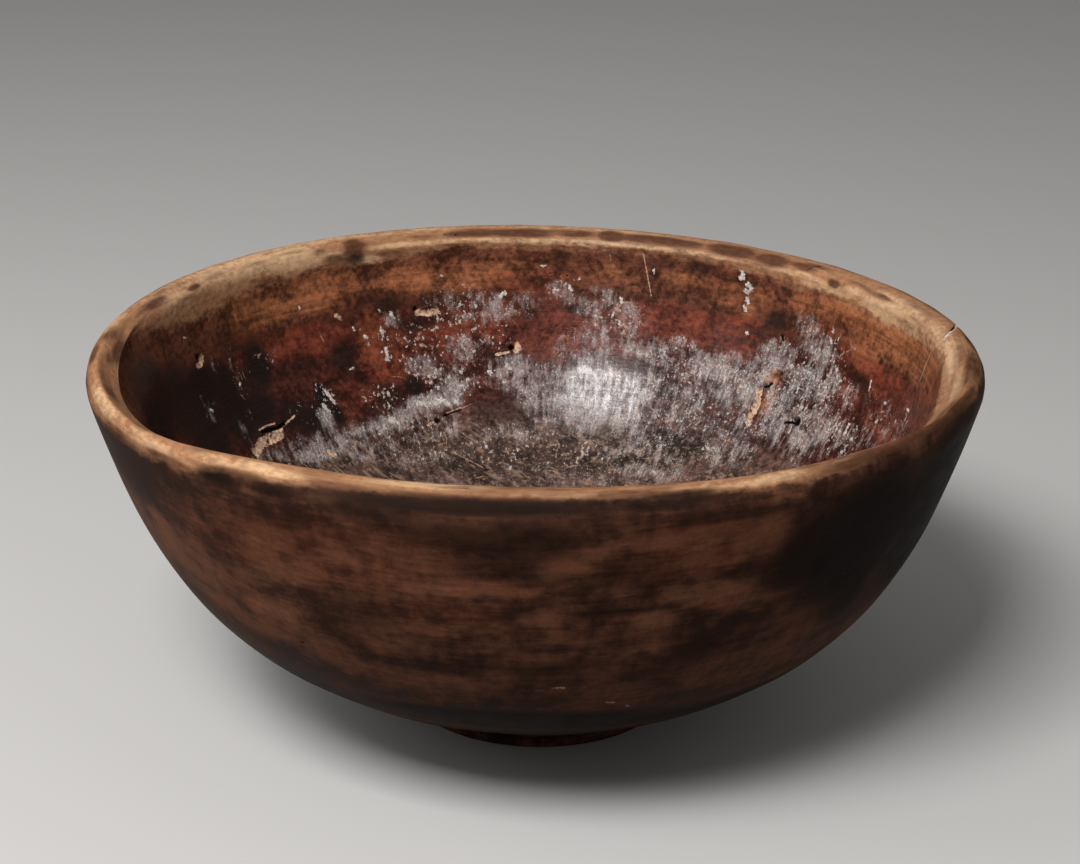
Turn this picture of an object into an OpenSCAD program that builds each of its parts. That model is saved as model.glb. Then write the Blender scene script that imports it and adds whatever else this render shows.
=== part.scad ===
// Turned dough bowl, one piece of wood, standing on its foot.
// The bowl is one outline turned about +Z. Its foot rests on z = 0, centred on the origin.

/* [Bowl] */
// Height of the rim's crest above the table
bowl_height = 176; // [130:1:230]
// Radius at the widest, just under the rim's crest
bowl_radius = 200; // [160:1:260]
// Thickness of the wood at the middle of the floor, down to the foot's face
floor_thickness = 24; // [16:1:36]

/* [Rim] */
// Thickness of the wall at the rim
rim_thickness = 19; // [15:0.5:26]
// Radius of the worn outer edge, which also sets how far in the crest lies
outer_edge_radius = 11; // [6:0.5:13]
// Angle that the outside of the wall leans out at the rim
outer_flare = 17; // [5:1:28]
// Angle that the inside of the wall leans out at the rim
inner_flare = 9; // [5:1:28]

/* [Foot] */
// Radius of the foot
foot_radius = 62; // [45:1:80]
// Height of the foot's upright side
foot_height = 4; // [3:0.5:10]
// Radius of the round on the foot's lower edge
foot_edge_radius = 1; // [0.5:0.25:2]
// Radius of the cove turned between the foot and the wall
cove_radius = 3; // [2:0.25:6]

/* [Wall curves] */
// Angle at which the outside leaves the cove, above level
underside_angle = 21; // [10:1:35]
// Reach of the outside's lower curve, as a share of the distance from the foot out to the rim
underside_share = 0.74; // [0.5:0.01:0.85]
// Reach of the outside's upper curve, as a share of the distance from the foot up to the rim
upper_share = 0.59; // [0.4:0.01:0.75]
// Reach of the floor's level curve, as a share of the inner radius
floor_share = 0.56; // [0.4:0.01:0.7]
// Reach of the inside's upper curve, as a share of the depth inside
inside_share = 0.64; // [0.4:0.01:0.7]

/* [Hidden] */

// Steps along each wall curve and each round
wall_steps = 48;
round_steps = 10;

inner_edge_radius = rim_thickness - outer_edge_radius;
crest_radius = bowl_radius - outer_edge_radius;
outer_edge = [crest_radius, bowl_height - outer_edge_radius];
inner_edge = [crest_radius, bowl_height - inner_edge_radius];
foot_edge = [foot_radius - foot_edge_radius, foot_edge_radius];
cove = [foot_radius, foot_height + cove_radius];

// Point on a round: its centre, radius and angle
function on_round(centre, radius, angle) = centre + radius * [cos(angle), sin(angle)];

// Points of a round from one angle to another, ends included
function round_points(centre, radius, from, to) =
    [for (i = [0 : round_steps]) on_round(centre, radius, from + (to - from) * i / round_steps)];

// Point on a cubic curve that leaves a towards b and reaches d from c
function curve_point(a, b, c, d, t) =
    pow(1 - t, 3) * a + 3 * t * pow(1 - t, 2) * b + 3 * pow(t, 2) * (1 - t) * c + pow(t, 3) * d;

// Points of a cubic curve between its ends, which belong to the rounds that it joins
function curve_points(a, b, c, d) =
    [for (i = [1 : wall_steps - 1]) curve_point(a, b, c, d, i / wall_steps)];

// The outside runs from the top of the cove to the rim's outer edge
cove_end_angle = 90 + underside_angle;
outside_start = on_round(cove, cove_radius, cove_end_angle);
outside_end = on_round(outer_edge, outer_edge_radius, -outer_flare);
underside_reach = underside_share * (outside_end[0] - outside_start[0]);
upper_reach = upper_share * (outside_end[1] - outside_start[1]);
underside_direction = [cos(underside_angle), sin(underside_angle)];
outer_wall_direction = [sin(outer_flare), cos(outer_flare)];

// The inside runs from the rim's inner edge down to the middle of the floor
inside_start = on_round(inner_edge, inner_edge_radius, 180 - inner_flare);
inside_end = [0, floor_thickness];
inside_reach = inside_share * (inside_start[1] - inside_end[1]);
floor_reach = floor_share * inside_start[0];
inner_wall_direction = [sin(inner_flare), cos(inner_flare)];

// Half of the bowl's section, from the middle of the foot round to the middle of the floor
module half_section() {
    polygon(concat(
        [[0, 0]],
        round_points(foot_edge, foot_edge_radius, -90, 0),
        round_points(cove, cove_radius, 270, cove_end_angle),
        curve_points(
            outside_start,
            outside_start + underside_reach * underside_direction,
            outside_end - upper_reach * outer_wall_direction,
            outside_end
        ),
        round_points(outer_edge, outer_edge_radius, -outer_flare, 90),
        round_points(inner_edge, inner_edge_radius, 90, 180 - inner_flare),
        curve_points(
            inside_start,
            inside_start - inside_reach * inner_wall_direction,
            inside_end + [floor_reach, 0],
            inside_end
        ),
        [inside_end]
    ));
}

// The whole bowl, turned from one block
module bowl() {
    color([0.36, 0.22, 0.14])
    rotate_extrude($fn = 180)
    half_section();
}

bowl();
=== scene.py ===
import math

import bpy
import numpy as np
from bpy.props import FloatProperty, FloatVectorProperty, IntProperty, PointerProperty
from mathutils import Matrix, Vector, noise


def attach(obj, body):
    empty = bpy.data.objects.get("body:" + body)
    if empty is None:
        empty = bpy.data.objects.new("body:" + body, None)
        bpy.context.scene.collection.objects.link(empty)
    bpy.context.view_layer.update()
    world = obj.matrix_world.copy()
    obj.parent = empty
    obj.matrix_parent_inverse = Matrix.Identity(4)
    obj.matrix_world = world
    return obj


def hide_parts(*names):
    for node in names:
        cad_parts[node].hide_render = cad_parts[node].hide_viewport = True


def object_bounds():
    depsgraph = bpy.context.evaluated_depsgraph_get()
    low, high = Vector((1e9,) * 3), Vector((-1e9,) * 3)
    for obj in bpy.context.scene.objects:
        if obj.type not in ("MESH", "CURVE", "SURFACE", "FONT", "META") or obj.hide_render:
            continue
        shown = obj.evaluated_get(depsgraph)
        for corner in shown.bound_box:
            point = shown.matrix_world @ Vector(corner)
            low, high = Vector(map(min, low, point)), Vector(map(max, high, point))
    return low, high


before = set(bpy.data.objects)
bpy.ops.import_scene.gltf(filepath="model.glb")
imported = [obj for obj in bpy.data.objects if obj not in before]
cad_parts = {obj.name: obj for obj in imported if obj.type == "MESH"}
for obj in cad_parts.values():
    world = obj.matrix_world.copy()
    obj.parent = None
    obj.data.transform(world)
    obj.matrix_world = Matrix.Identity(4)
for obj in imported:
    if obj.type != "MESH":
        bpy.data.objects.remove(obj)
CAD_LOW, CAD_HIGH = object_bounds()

bl_info = {
    "name": "Turned dough bowl",
    "version": (1, 0, 0),
    "blender": (4, 5, 0),
    "location": "3D Viewport > Sidebar > Dough bowl",
    "description": "Turns, wears and finishes an old wooden dough bowl, and lights it on a pale floor",
    "category": "Add Mesh",
}

# Lengths in the lists below are in millimetres, and Blender works in metres
MM = 0.001

# Where things are on the bowl
# A place on the wood is an azimuth and a depth. The azimuth is in degrees round the axis: 0 is to the
# right, 90 at the back and -90 at the front. The depth is measured along the wood from the rim's crest:
# it is above 0 down the inside, and below 0 down the outside.

# Depth of each stretch's end down the bowl's section, and the distance between its rings
RING_STRETCHES = (
    (-250.6, 12),  # Under the foot, out to the edge of its flat face
    (-236, 0.9),  # Foot and cove
    (-30, 4),  # Outside of the wall
    (-15, 2.2),  # Under the rim
    (17, 1.25),  # Rim
    (156, 2.6),  # Inside of the wall
    (400, 5.6),  # Floor, up to its middle
)
# Points closer than this are one, as where the spin ends on its own start
SEAM_GAP = 0.02 * MM

# Holes: azimuth, depth, half width and how deep it goes
HOLES = (
    (161, 39.6, 1.9, 4), (112.3, 44.2, 1.2, 3.5), (95.3, 67, 1.5, 4), (151.3, 92.2, 1.1, 3),
    (150, 90.4, 0.7, 2.5), (111.3, 103.5, 1.7, 4), (109.4, 101.6, 0.7, 2), (36.4, 81.6, 2, 4),
    (86.8, 28.2, 0.5, 1), (85.6, 28.6, 0.5, 1), (88.4, 27.6, 0.4, 1), (106, 5.8, 0.4, 1),
    (104.2, 6.4, 0.5, 1), (-122, -96, 0.7, 1.5), (-34, 70, 1.3, 3), (-128, 52, 1.1, 3),
)

# Slits and cracks: half width, how deep it goes, then the places that it passes through
SLITS = (
    (0.9, 1.6, ((152, 86.6), (149.6, 87.4), (147, 87.9), (145.4, 87.2))),
    (0.8, 2, ((46.4, 70.4), (45.7, 69.6), (45.1, 67.6))), (0.8, 1.2, ((45.8, 42.8), (45.5, 44.8))),
    (0.7, 1.2, ((38.9, 84.2), (37.8, 83.2), (36.6, 82.2))),
    (0.5, 1, ((109.8, 101.8), (107.6, 100.2), (106, 99.2))),
    (0.5, 1.4, ((17, -21), (14, -16), (11, -10), (8, -5), (5, 0), (3.2, 5))),
    (0.3, 0.6, ((42, 1), (43.4, 4), (44, 7))),
)

# Patches of bare pale wood: half width, how far it is sunk, then the places that it passes through
BARE_PATCHES = (
    (1.3, 0.5, ((161.9, 42.4), (160.6, 42.6), (159.9, 41), (159.8, 39.4))),
    (1.5, 0.7, ((111.9, 46.2), (110.6, 46.8), (109.2, 47), (108.3, 46.6))),
    (2.6, 0.7, ((156.2, 93.2), (154, 91.6), (151.6, 91.4), (149.4, 91.6), (147.8, 90.4))),
    (0.4, 0.2, ((152.6, 84.9), (150, 84.6), (148, 85.3))),
    (0.6, 0.3, ((147.2, 89), (144.6, 87), (142.5, 85.4))),
    (1.3, 0.4, ((94.6, 68.6), (94, 67), (94.2, 65.4))),
    (0.6, 0.2, ((98.2, 70.8), (96.8, 69.9), (95.8, 69.4))),
    (1.8, 0.6, ((47, 73), (46.7, 78), (46.6, 84), (46.9, 89))),
    (0.8, 0.3, ((112.6, 104.8), (113.6, 105.8))),
    (0.9, 0.3, ((108.9, 100.8), (107.4, 99.6), (106.2, 98.8))),
    (1.2, 0.3, ((138.6, 108.4), (138, 110.6), (137.4, 111))), (1.2, 0.2, ((127.4, 42), (126.8, 43.6))),
    (0.6, 0.2, ((-87.4, -107.4), (-86, -107.2))), (0.7, 0.2, ((-79.4, -121.2), (-78.4, -121.8))),
    (0.5, 0.2, ((-76.3, -125.8), (-75.8, -126.8))),
)

# Light scratches: half width, how strongly it shows, then the places that it passes through
SCRATCHES = (
    (0.3, 0.8, ((73, 14), (72.2, 23), (71, 35.5))), (0.3, 0.5, ((78.8, 13), (78.4, 19))),
    (0.4, 0.9, ((5.1, 15.5), (5.9, 21), (6.3, 27), (6.6, 31))),
    (0.3, 0.5, ((118.8, 77.6), (117.4, 78.2), (116.1, 79.8))),
    (0.28, 0.6, ((110, 122), (107.8, 125.6), (105.2, 129.6), (103.4, 132.8))),
    (0.28, 0.6, ((110.6, 111), (110.3, 114.6), (110.8, 118.6), (111.8, 122.4))),
    (0.4, 0.5, ((106, 139), (104, 138.2), (102.6, 138.4))),
    (0.25, 0.5, ((98.2, 129), (99.6, 131), (100.6, 132.6))),
    (0.25, 0.5, ((93.2, 110.2), (93.7, 113.6), (94.2, 116))),
    (0.35, 0.5, ((88.2, 135.6), (86.8, 135.2), (85.6, 136.4))), (0.4, 0.5, ((82, 131.6), (80.2, 131))),
    (0.28, 0.5, ((66.4, 122.6), (64.8, 121.8), (63.2, 120.8))),
    (0.25, 0.5, ((67.4, 113.8), (66.2, 113), (64.8, 112.2))),
    (0.3, 0.5, ((105.8, 98.4), (104, 96.8), (102.2, 95.4))), (0.35, 0.6, ((131.4, 50), (130.9, 53.4))),
    (0.3, 0.5, ((129.4, 110.6), (128.9, 114.4))), (0.25, 0.5, ((40.2, 20), (40.6, 25), (40.8, 29))),
    (0.3, 0.35, ((-58.6, -75), (-55, -71.2), (-50, -67), (-45.4, -64))),
    (0.4, 0.4, ((-90.4, -109.4), (-88.6, -109))),
    (0.35, 0.9, ((16.2, -21.6), (13.4, -16.4), (10.4, -10.4), (7.6, -5.4), (4.4, -0.2), (2.7, 4.8))),
)
SCRATCH_DEPTH = 0.12

# Lumps of dried dough: half width, how far it stands up, then the places that it passes through
RESIDUES = (
    (1.2, 0.5, ((55.6, 16), (55.2, 17.6), (55.6, 19.2))),
    (1.3, 0.6, ((54.3, 21.8), (53.6, 22.2), (53.5, 24))), (1, 0.5, ((54.6, 24.8), (54, 25.8))),
    (1.1, 0.5, ((53.9, 28.8), (53.6, 30.4))), (0.9, 0.3, ((54.2, 33.6), (53.8, 34.8))),
    (1, 0.4, ((97, 40), (96.6, 39), (96.2, 38.2))), (0.8, 0.3, ((70.9, 22.2), (70.8, 23.8))),
    (0.7, 0.3, ((83.5, 29.8),)), (0.7, 0.3, ((89.9, 24), (89.4, 24))),
    (0.7, 0.3, ((107.2, 27.8), (106.9, 28.4))), (0.8, 0.3, ((85.1, 34), (84.9, 35.6))),
    (0.7, 0.3, ((76.2, 38.6), (76, 41))), (0.6, 0.3, ((77.3, 46), (77.4, 49))),
    (0.6, 0.3, ((76.1, 51), (76.2, 52))), (1, 0.4, ((99.6, 79.8), (99.4, 81))), (0.9, 0.4, ((97, 86),)),
    (0.7, 0.3, ((119.2, 52.6), (119, 56.6))), (0.8, 0.3, ((118.9, 62.4), (118.8, 68.6))),
    (0.7, 0.3, ((122.6, 54.8), (122.2, 56))), (0.6, 0.3, ((124.6, 49.6), (124.4, 51))),
    (0.6, 0.3, ((119.1, 42.6), (119, 43.6))), (0.6, 0.3, ((163.6, 26.8), (163.2, 27.4))),
    (0.5, 0.3, ((134.5, 33.4), (134.4, 34.6))), (0.7, 0.3, ((162.8, 64.4), (162.2, 65.2))),
    (0.7, 0.3, ((152.6, 61.2), (152.2, 60.4))), (0.6, 0.3, ((126.8, 70.2), (126.2, 69.8))),
    (0.9, 0.4, ((117, 44.8), (116.8, 47.6))), (1.4, 0.3, ((114.6, 93.4), (112.4, 94.6), (110.4, 94))),
    (1.3, 0.3, ((109.8, 93.2), (108.8, 95.6))), (1.2, 0.3, ((107, 94), (106.8, 95.2))),
    (0.9, 0.3, ((135, 84.6), (134.2, 88.6))), (0.8, 0.3, ((133.6, 77.2), (132.9, 80.8), (132.2, 85.4))),
    (1.2, 0.3, ((121.2, 99.8), (120, 101.6))), (0.7, 0.3, ((7.4, 46.4), (6.4, 46.2))),
    (0.6, 0.2, ((16.2, 52.2), (15.6, 51.8))), (0.7, 0.3, ((16.2, 62.2), (15.6, 61.2))),
    (0.8, 0.3, ((23.3, 71), (23.1, 76))), (0.6, 0.3, ((22.4, 46.8), (21.9, 51.6))),
    (0.7, 0.3, ((35.3, 37), (35.1, 38.4))), (0.7, 0.3, ((52.8, 46), (52.4, 46.6))),
    (0.8, 0.4, ((4.4, 0.4), (3.6, 2.6), (3.2, 4.6))),
)

# Each zone is a list of soft patches: azimuth, depth, half width in degrees, half height and strength
WARM_PATCHES = (
    (140, 33, 7, 7, 0.8), (146, 26, 5, 8, 0.8), (131, 32, 6, 7, 0.8), (134, 23, 12, 5, 0.55),
    (155, 22, 6, 6, 0.3), (123, 28, 4, 8, 0.4), (113, 28, 7, 6, 0.75), (110, 34, 4, 3, 0.6),
    (101, 28, 7, 8, 0.6), (108, 34, 5, 4, 0.5), (121, 58, 3.4, 14, 0.6), (117, 56, 2, 12, 0.45),
    (94, 25, 4, 6, 0.4), (79, 24, 3, 5, 0.5), (73, 30, 3, 5, 0.3), (66, 26, 4, 7, 0.5),
    (58, 29, 3, 6, 0.5), (53.4, 35, 1.6, 5, 0.6), (51, 27, 3, 5, 0.35), (43, 25, 4, 5, 0.4),
    (38, 23, 4, 6, 0.5), (30, 20, 8, 8, 0.75), (26, 38, 4, 7, 0.9), (18, 24, 10, 10, 1), (5, 20, 8, 9, 1),
    (7, 30, 6, 5, 0.6), (45.4, 65, 1.8, 5, 0.9), (44.4, 78, 1.2, 10, 0.8), (-30, 25, 30, 10, 0.5),
    (-95, 24, 35, 10, 0.5), (-160, 24, 18, 8, 0.3), (-139, -67, 10, 15, 0.6), (-131, -64, 7, 7, 0.5),
    (-125, -80, 5, 7, 0.8), (-137, -87, 7, 6, 0.6), (-143, -53, 3, 4, 0.7), (-123, -92, 8, 8, 0.55),
    (-129, -96, 6, 6, 0.4), (-117, -102, 8, 8, 0.5), (-103, -108, 8, 8, 0.7), (-112, -40, 2.6, 4, 0.8),
    (-105, -36, 8, 6, 0.55), (-102, -44, 5, 8, 0.6), (-96, -49, 6, 4, 0.8), (-104.4, -50, 1.6, 2.4, 0.8),
    (-109, -27, 4, 4, 0.35), (-121, -48, 6, 10, 0.35), (-86.2, -36.6, 2.4, 2.6, 1),
    (-83.4, -32, 3, 2.4, 0.8), (-88, -42, 1.4, 3, 0.5), (-77, -28, 5, 3, 0.55), (-64, -34, 4, 10, 0.6),
    (-70, -28, 10, 6, 0.3), (-69, -57, 6, 6, 0.85), (-64, -66, 5, 4, 0.6), (-75.6, -67, 3, 4, 0.8),
    (-89, -64, 4, 4, 0.6), (-88, -86, 5, 4, 0.45), (-84, -74, 9, 6, 0.35), (-79, -84, 6, 10, 0.35),
    (-61, -66, 5, 2.6, 0.6), (-65, -63, 4, 3, 0.5), (-56, -82, 6, 4, 0.4), (-95, -100, 3, 8, 0.4),
    (-107, -84, 6, 10, 0.25), (-99, -74, 9, 8, 0.25), (-60, -104, 16, 16, 0.35), (-76, -112, 10, 8, 0.3),
    (-40, -112, 12, 10, 0.3), (-152, -70, 6, 20, 0.4), (170, -60, 18, 20, 0.4), (150, -95, 14, 14, 0.4),
    (132, -60, 10, 10, 0.5), (112, -45, 12, 10, 0.5), (98, -88, 12, 12, 0.4), (80, -60, 12, 10, 0.45),
    (64, -96, 12, 12, 0.4), (50, -45, 10, 10, 0.4), (30, -105, 14, 14, 0.4),
)
RED_PATCHES = (
    (137, 50, 10, 8, 0.75), (131, 52, 5, 7, 0.8), (120, 60, 5, 18, 0.75), (118, 77, 5, 6, 0.7),
    (128, 88, 4, 12, 0.45), (100, 52, 8, 12, 0.55), (106, 60, 5, 10, 0.5), (92, 33, 8, 8, 0.4),
    (86, 58, 8, 13, 0.7), (77, 55, 8, 14, 0.6), (70, 46, 6, 10, 0.6), (61, 46, 9, 7, 0.75),
    (55, 42, 5, 5, 0.8), (64, 55, 9, 6, 0.7), (54, 56, 5, 5, 0.6), (38, 34, 3, 5, 0.5),
    (31, 38, 4, 5, 0.5), (22, 43, 8, 6, 0.8), (16, 46, 10, 9, 0.9), (26, 60, 4, 12, 0.6),
    (30, 78, 3, 9, 0.6), (13, 60, 9, 10, 0.65), (3, 42, 8, 12, 0.6), (-20, 45, 20, 18, 0.6),
    (-60, 48, 20, 18, 0.5), (-110, 48, 25, 18, 0.5), (-160, 52, 20, 18, 0.5), (-112, -38, 17, 18, 0.8),
    (-96, -48, 7, 6, 0.75), (-99, -66, 12, 12, 0.5), (-86, -36.6, 2.6, 3.4, 0.9), (-72, -34, 13, 16, 0.6),
    (-126, -46, 10, 10, 0.6), (-64, -42, 5, 10, 0.6), (-86, -68, 10, 8, 0.4), (150, -60, 16, 14, 0.4),
    (100, -60, 14, 12, 0.4), (60, -60, 16, 14, 0.4),
)
DARK_STAIN_AND_SHADE_PATCHES = (
    # Patches from -178 to 143 degrees at depths 40 to 90 darken the inside's left wall: part dark stain,
    # part painted shade of the wall that faces away from the light
    (-178, 42, 11, 24, 0.95), (171, 52, 6, 22, 0.9), (166, 72, 7, 22, 0.95), (163, 54, 6, 15, 0.95),
    (156, 74, 6, 16, 0.95), (149, 62, 4, 12, 0.7), (-160, 50, 12, 26, 0.7), (157, 58, 5, 14, 0.85),
    (151, 76, 7, 12, 0.85), (146.5, 56, 3.6, 15, 0.85), (143, 84, 5, 9, 0.75), (152, 40, 4, 6, 0.35),
    (139, 90, 5, 8, 0.8), (139, 64, 6, 10, 0.3), (134.6, 82, 1.5, 10, 1), (132.4, 92, 1.1, 7, 1),
    (136.8, 99, 1, 4.4, 1), (127.6, 62, 3, 10, 0.65), (124, 94, 3, 6, 0.5), (120, 88, 4, 8, 0.6),
    (114.6, 84, 2.4, 8, 0.75), (122.4, 15, 2, 3, 0.8), (114, 52, 5, 5, 0.6), (117.6, 40, 3, 5, 0.6),
    (108, 50, 3, 3, 0.5), (98, 74, 5, 6, 0.5), (92, 52, 3, 6, 0.4), (84, 46, 3.4, 2.6, 0.7),
    (86.6, 18, 2, 4, 0.5), (78, 17, 3, 3, 0.4), (70, 18, 5, 3.6, 0.4), (63, 17, 4, 3.6, 0.55),
    (96, 100, 8, 9, 0.4), (56, 19, 4, 3, 0.3), (47.4, 36, 2.6, 6, 0.7), (46.6, 21, 1.6, 2.4, 0.6),
    (34, 40, 1.6, 5, 0.5), (25, 50, 3, 5, 0.7), (22.6, 56, 1.2, 7, 0.6), (37, 57, 3.4, 5, 0.35),
    (29.6, 86, 2, 7, 0.7), (40, 96, 2, 8, 0.55), (42, 80, 1, 8, 0.6), (60, 94, 1.8, 9, 0.4),
    (70, 126, 8, 6, 0.55), (88, 130, 14, 10, 0.5), (62, 112, 9, 8, 0.7), (48, 92, 3, 6, 0.4),
    (100, 128, 22, 10, 0.4), (66, 84, 2, 8, 0.4), (74, 106, 5, 4, 0.4), (0, 190, 180, 40, 0.3),
    (-50, 80, 40, 25, 0.4), (-140, 80, 30, 25, 0.5), (-97, -11, 20, 4, 0.75), (-76, -11, 8, 4, 0.7),
    (-107, -15, 7, 5, 0.6), (-98, -24, 9, 8, 0.5), (-91, -24, 7, 13, 0.55), (-95, -36, 6, 9, 0.45),
    (-89, -44, 5, 5, 0.35), (-102, -18, 6, 5, 0.4), (-127, -14, 3.4, 3.6, 0.8),
    (-119.5, -14, 3, 3.2, 0.7), (-137, -17, 3, 3.4, 0.5), (-148, -30, 12, 18, 0.6),
    (-134, -24, 8, 8, 0.35), (-68, -20, 9, 3, 0.45), (-80, -17, 6, 4, 0.3), (-82, -44, 6, 5, 0.35),
    (-81, -61, 6, 2.6, 0.7), (-77, -48, 5, 5, 0.3), (-60, -56, 4, 5, 0.5), (-62, -76, 4, 4, 0.4),
    (-69, -90, 4, 9, 0.6), (-74, -100, 4, 4, 0.5), (-60, -84, 4, 3, 0.45), (-98, -94, 8, 3, 0.45),
    (-90, -96, 6, 5, 0.45), (-85, -91, 6, 2.4, 0.4), (-112, -68, 6, 10, 0.35), (-114, -84, 3, 6, 0.45),
    (-120, -34, 6, 8, 0.15), (-131, -106, 6, 6, 0.3), (-119, -114, 3, 6, 0.3), (-90, -118, 9, 5, 0.35),
    # Patches from -56 to 8 degrees, and the one at -44, darken the outside's right: part dark stain, part
    # painted shade on the side turned away from the light
    (-56, -48, 6, 22, 0.75), (-46, -50, 12, 34, 1), (-28, -55, 14, 46, 1), (-10, -58, 14, 50, 1),
    (8, -60, 14, 50, 0.85), (-44, -84, 5, 14, 0.8), (0, -148, 180, 12, 0.85), (0, -190, 180, 36, 1),
    # (0, -148) and (0, -190) on the line above, and (-95, -138) and (-135, -140) here, darken the lowest
    # outside and the foot all round: painted shade, with some grime
    (-95, -138, 30, 10, 1), (-135, -140, 14, 16, 0.9), (30, -40, 14, 25, 0.6), (100, -100, 20, 16, 0.4),
    (160, -25, 14, 10, 0.5), (-165, -28, 8, 12, 0.4),
)
# Flour film, with painted sheen: the grey-white haze also stands for light glancing off the greasy inside
FILM_AND_SHEEN_PATCHES = (
    (156.4, 84, 1, 7, 0.4), (153.6, 76, 0.9, 4, 0.35), (156, 99, 7, 4, 0.5), (144, 101, 8, 6, 0.6),
    (135.2, 93, 1.7, 8, 1), (157, 47, 0.8, 5, 0.35), (152.4, 50, 0.7, 11, 0.4), (164, 58, 0.8, 4, 0.25),
    (162.6, 66, 1, 5, 0.3), (139, 107, 9, 6, 0.95), (126, 103, 7, 5, 0.7), (119, 100, 4, 4, 0.9),
    (128, 114, 8, 5, 0.5), (111.5, 94, 5.5, 4.6, 1), (107, 84, 4, 8, 0.75), (117, 47, 1.6, 5, 0.8),
    (107, 41, 4, 5, 0.36), (100, 46, 5, 9, 0.4), (103, 66, 4, 8, 0.45), (112, 74, 4, 6, 0.4),
    (113, 108, 8, 8, 0.35), (116, 124, 12, 6, 0.2), (95, 82, 5, 10, 0.7), (93, 44, 3, 7, 0.3),
    (86.6, 35, 2.4, 4.4, 0.55), (80, 42, 6, 8, 0.36), (77, 52, 5, 14, 0.42), (82, 66, 5, 10, 0.5),
    # The strongest film, from 71 to 88 degrees at depth 92, lies under the key light's reflection: flour
    # film and a painted highlight
    (70, 66, 5, 8, 0.35), (88, 92, 6, 16, 0.7), (80, 92, 8, 19, 1), (71, 92, 7, 18, 0.7),
    (62, 86, 6, 14, 0.6), (57, 106, 8, 8, 0.3), (68, 106, 4, 6, 0.5), (67, 64, 8, 9, 0.6),
    (56, 66, 6, 9, 0.68), (53, 74, 7, 12, 0.75), (49, 102, 7, 14, 0.55), (47, 70, 4, 8, 0.6),
    (41, 33, 3, 5, 0.6), (38, 44, 4, 8, 1), (45, 54, 4, 8, 0.8), (49, 66, 4, 10, 0.7),
    (36, 60, 6, 12, 0.9), (40, 78, 5, 18, 1), (32, 84, 6, 16, 0.85), (52, 78, 5, 8, 0.9),
    (26, 66, 2.4, 14, 0.5), (23, 82, 4, 8, 0.45), (18, 72, 6, 6, 0.35), (12, 56, 10, 10, 0.25),
    (66, 122, 10, 12, 0.5), (96, 114, 8, 6, 0.3), (90, 142, 60, 12, 0.14), (0, 190, 180, 40, 0.3),
    (-40, 90, 40, 25, 0.6), (-100, 95, 30, 25, 0.5), (-150, 95, 25, 25, 0.5),
)
FLECK_PATCHES = (
    (118.8, 60, 1.4, 12, 1), (122.4, 54, 1.6, 5, 0.7), (105, 44, 6, 10, 0.9), (112, 64, 8, 14, 0.55),
    (108, 84, 7, 10, 1), (114, 78, 3, 8, 0.8), (121, 88, 5, 8, 0.75), (101, 62, 7, 12, 0.6),
    (94, 80, 6, 8, 0.7), (86, 36, 4, 6, 0.7), (77, 46, 5, 12, 0.5), (66, 62, 8, 8, 0.5),
    (163, 62, 2, 6, 0.35), (152, 60, 2, 10, 0.3), (145, 56, 5, 8, 0.25), (134, 84, 3, 12, 0.7),
    (139, 86, 4, 8, 0.4), (126, 106, 14, 8, 0.7), (112, 114, 14, 14, 0.5), (60, 92, 20, 26, 0.5),
    (52, 72, 8, 12, 0.6), (36, 64, 10, 30, 0.75), (24, 78, 8, 14, 0.7), (12, 55, 10, 12, 0.35),
    (100, 122, 20, 14, 0.45), (74, 128, 18, 12, 0.5), (144, 108, 16, 8, 0.5), (0, 180, 180, 40, 0.3),
    (-60, 80, 60, 30, 0.4),
)
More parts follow.
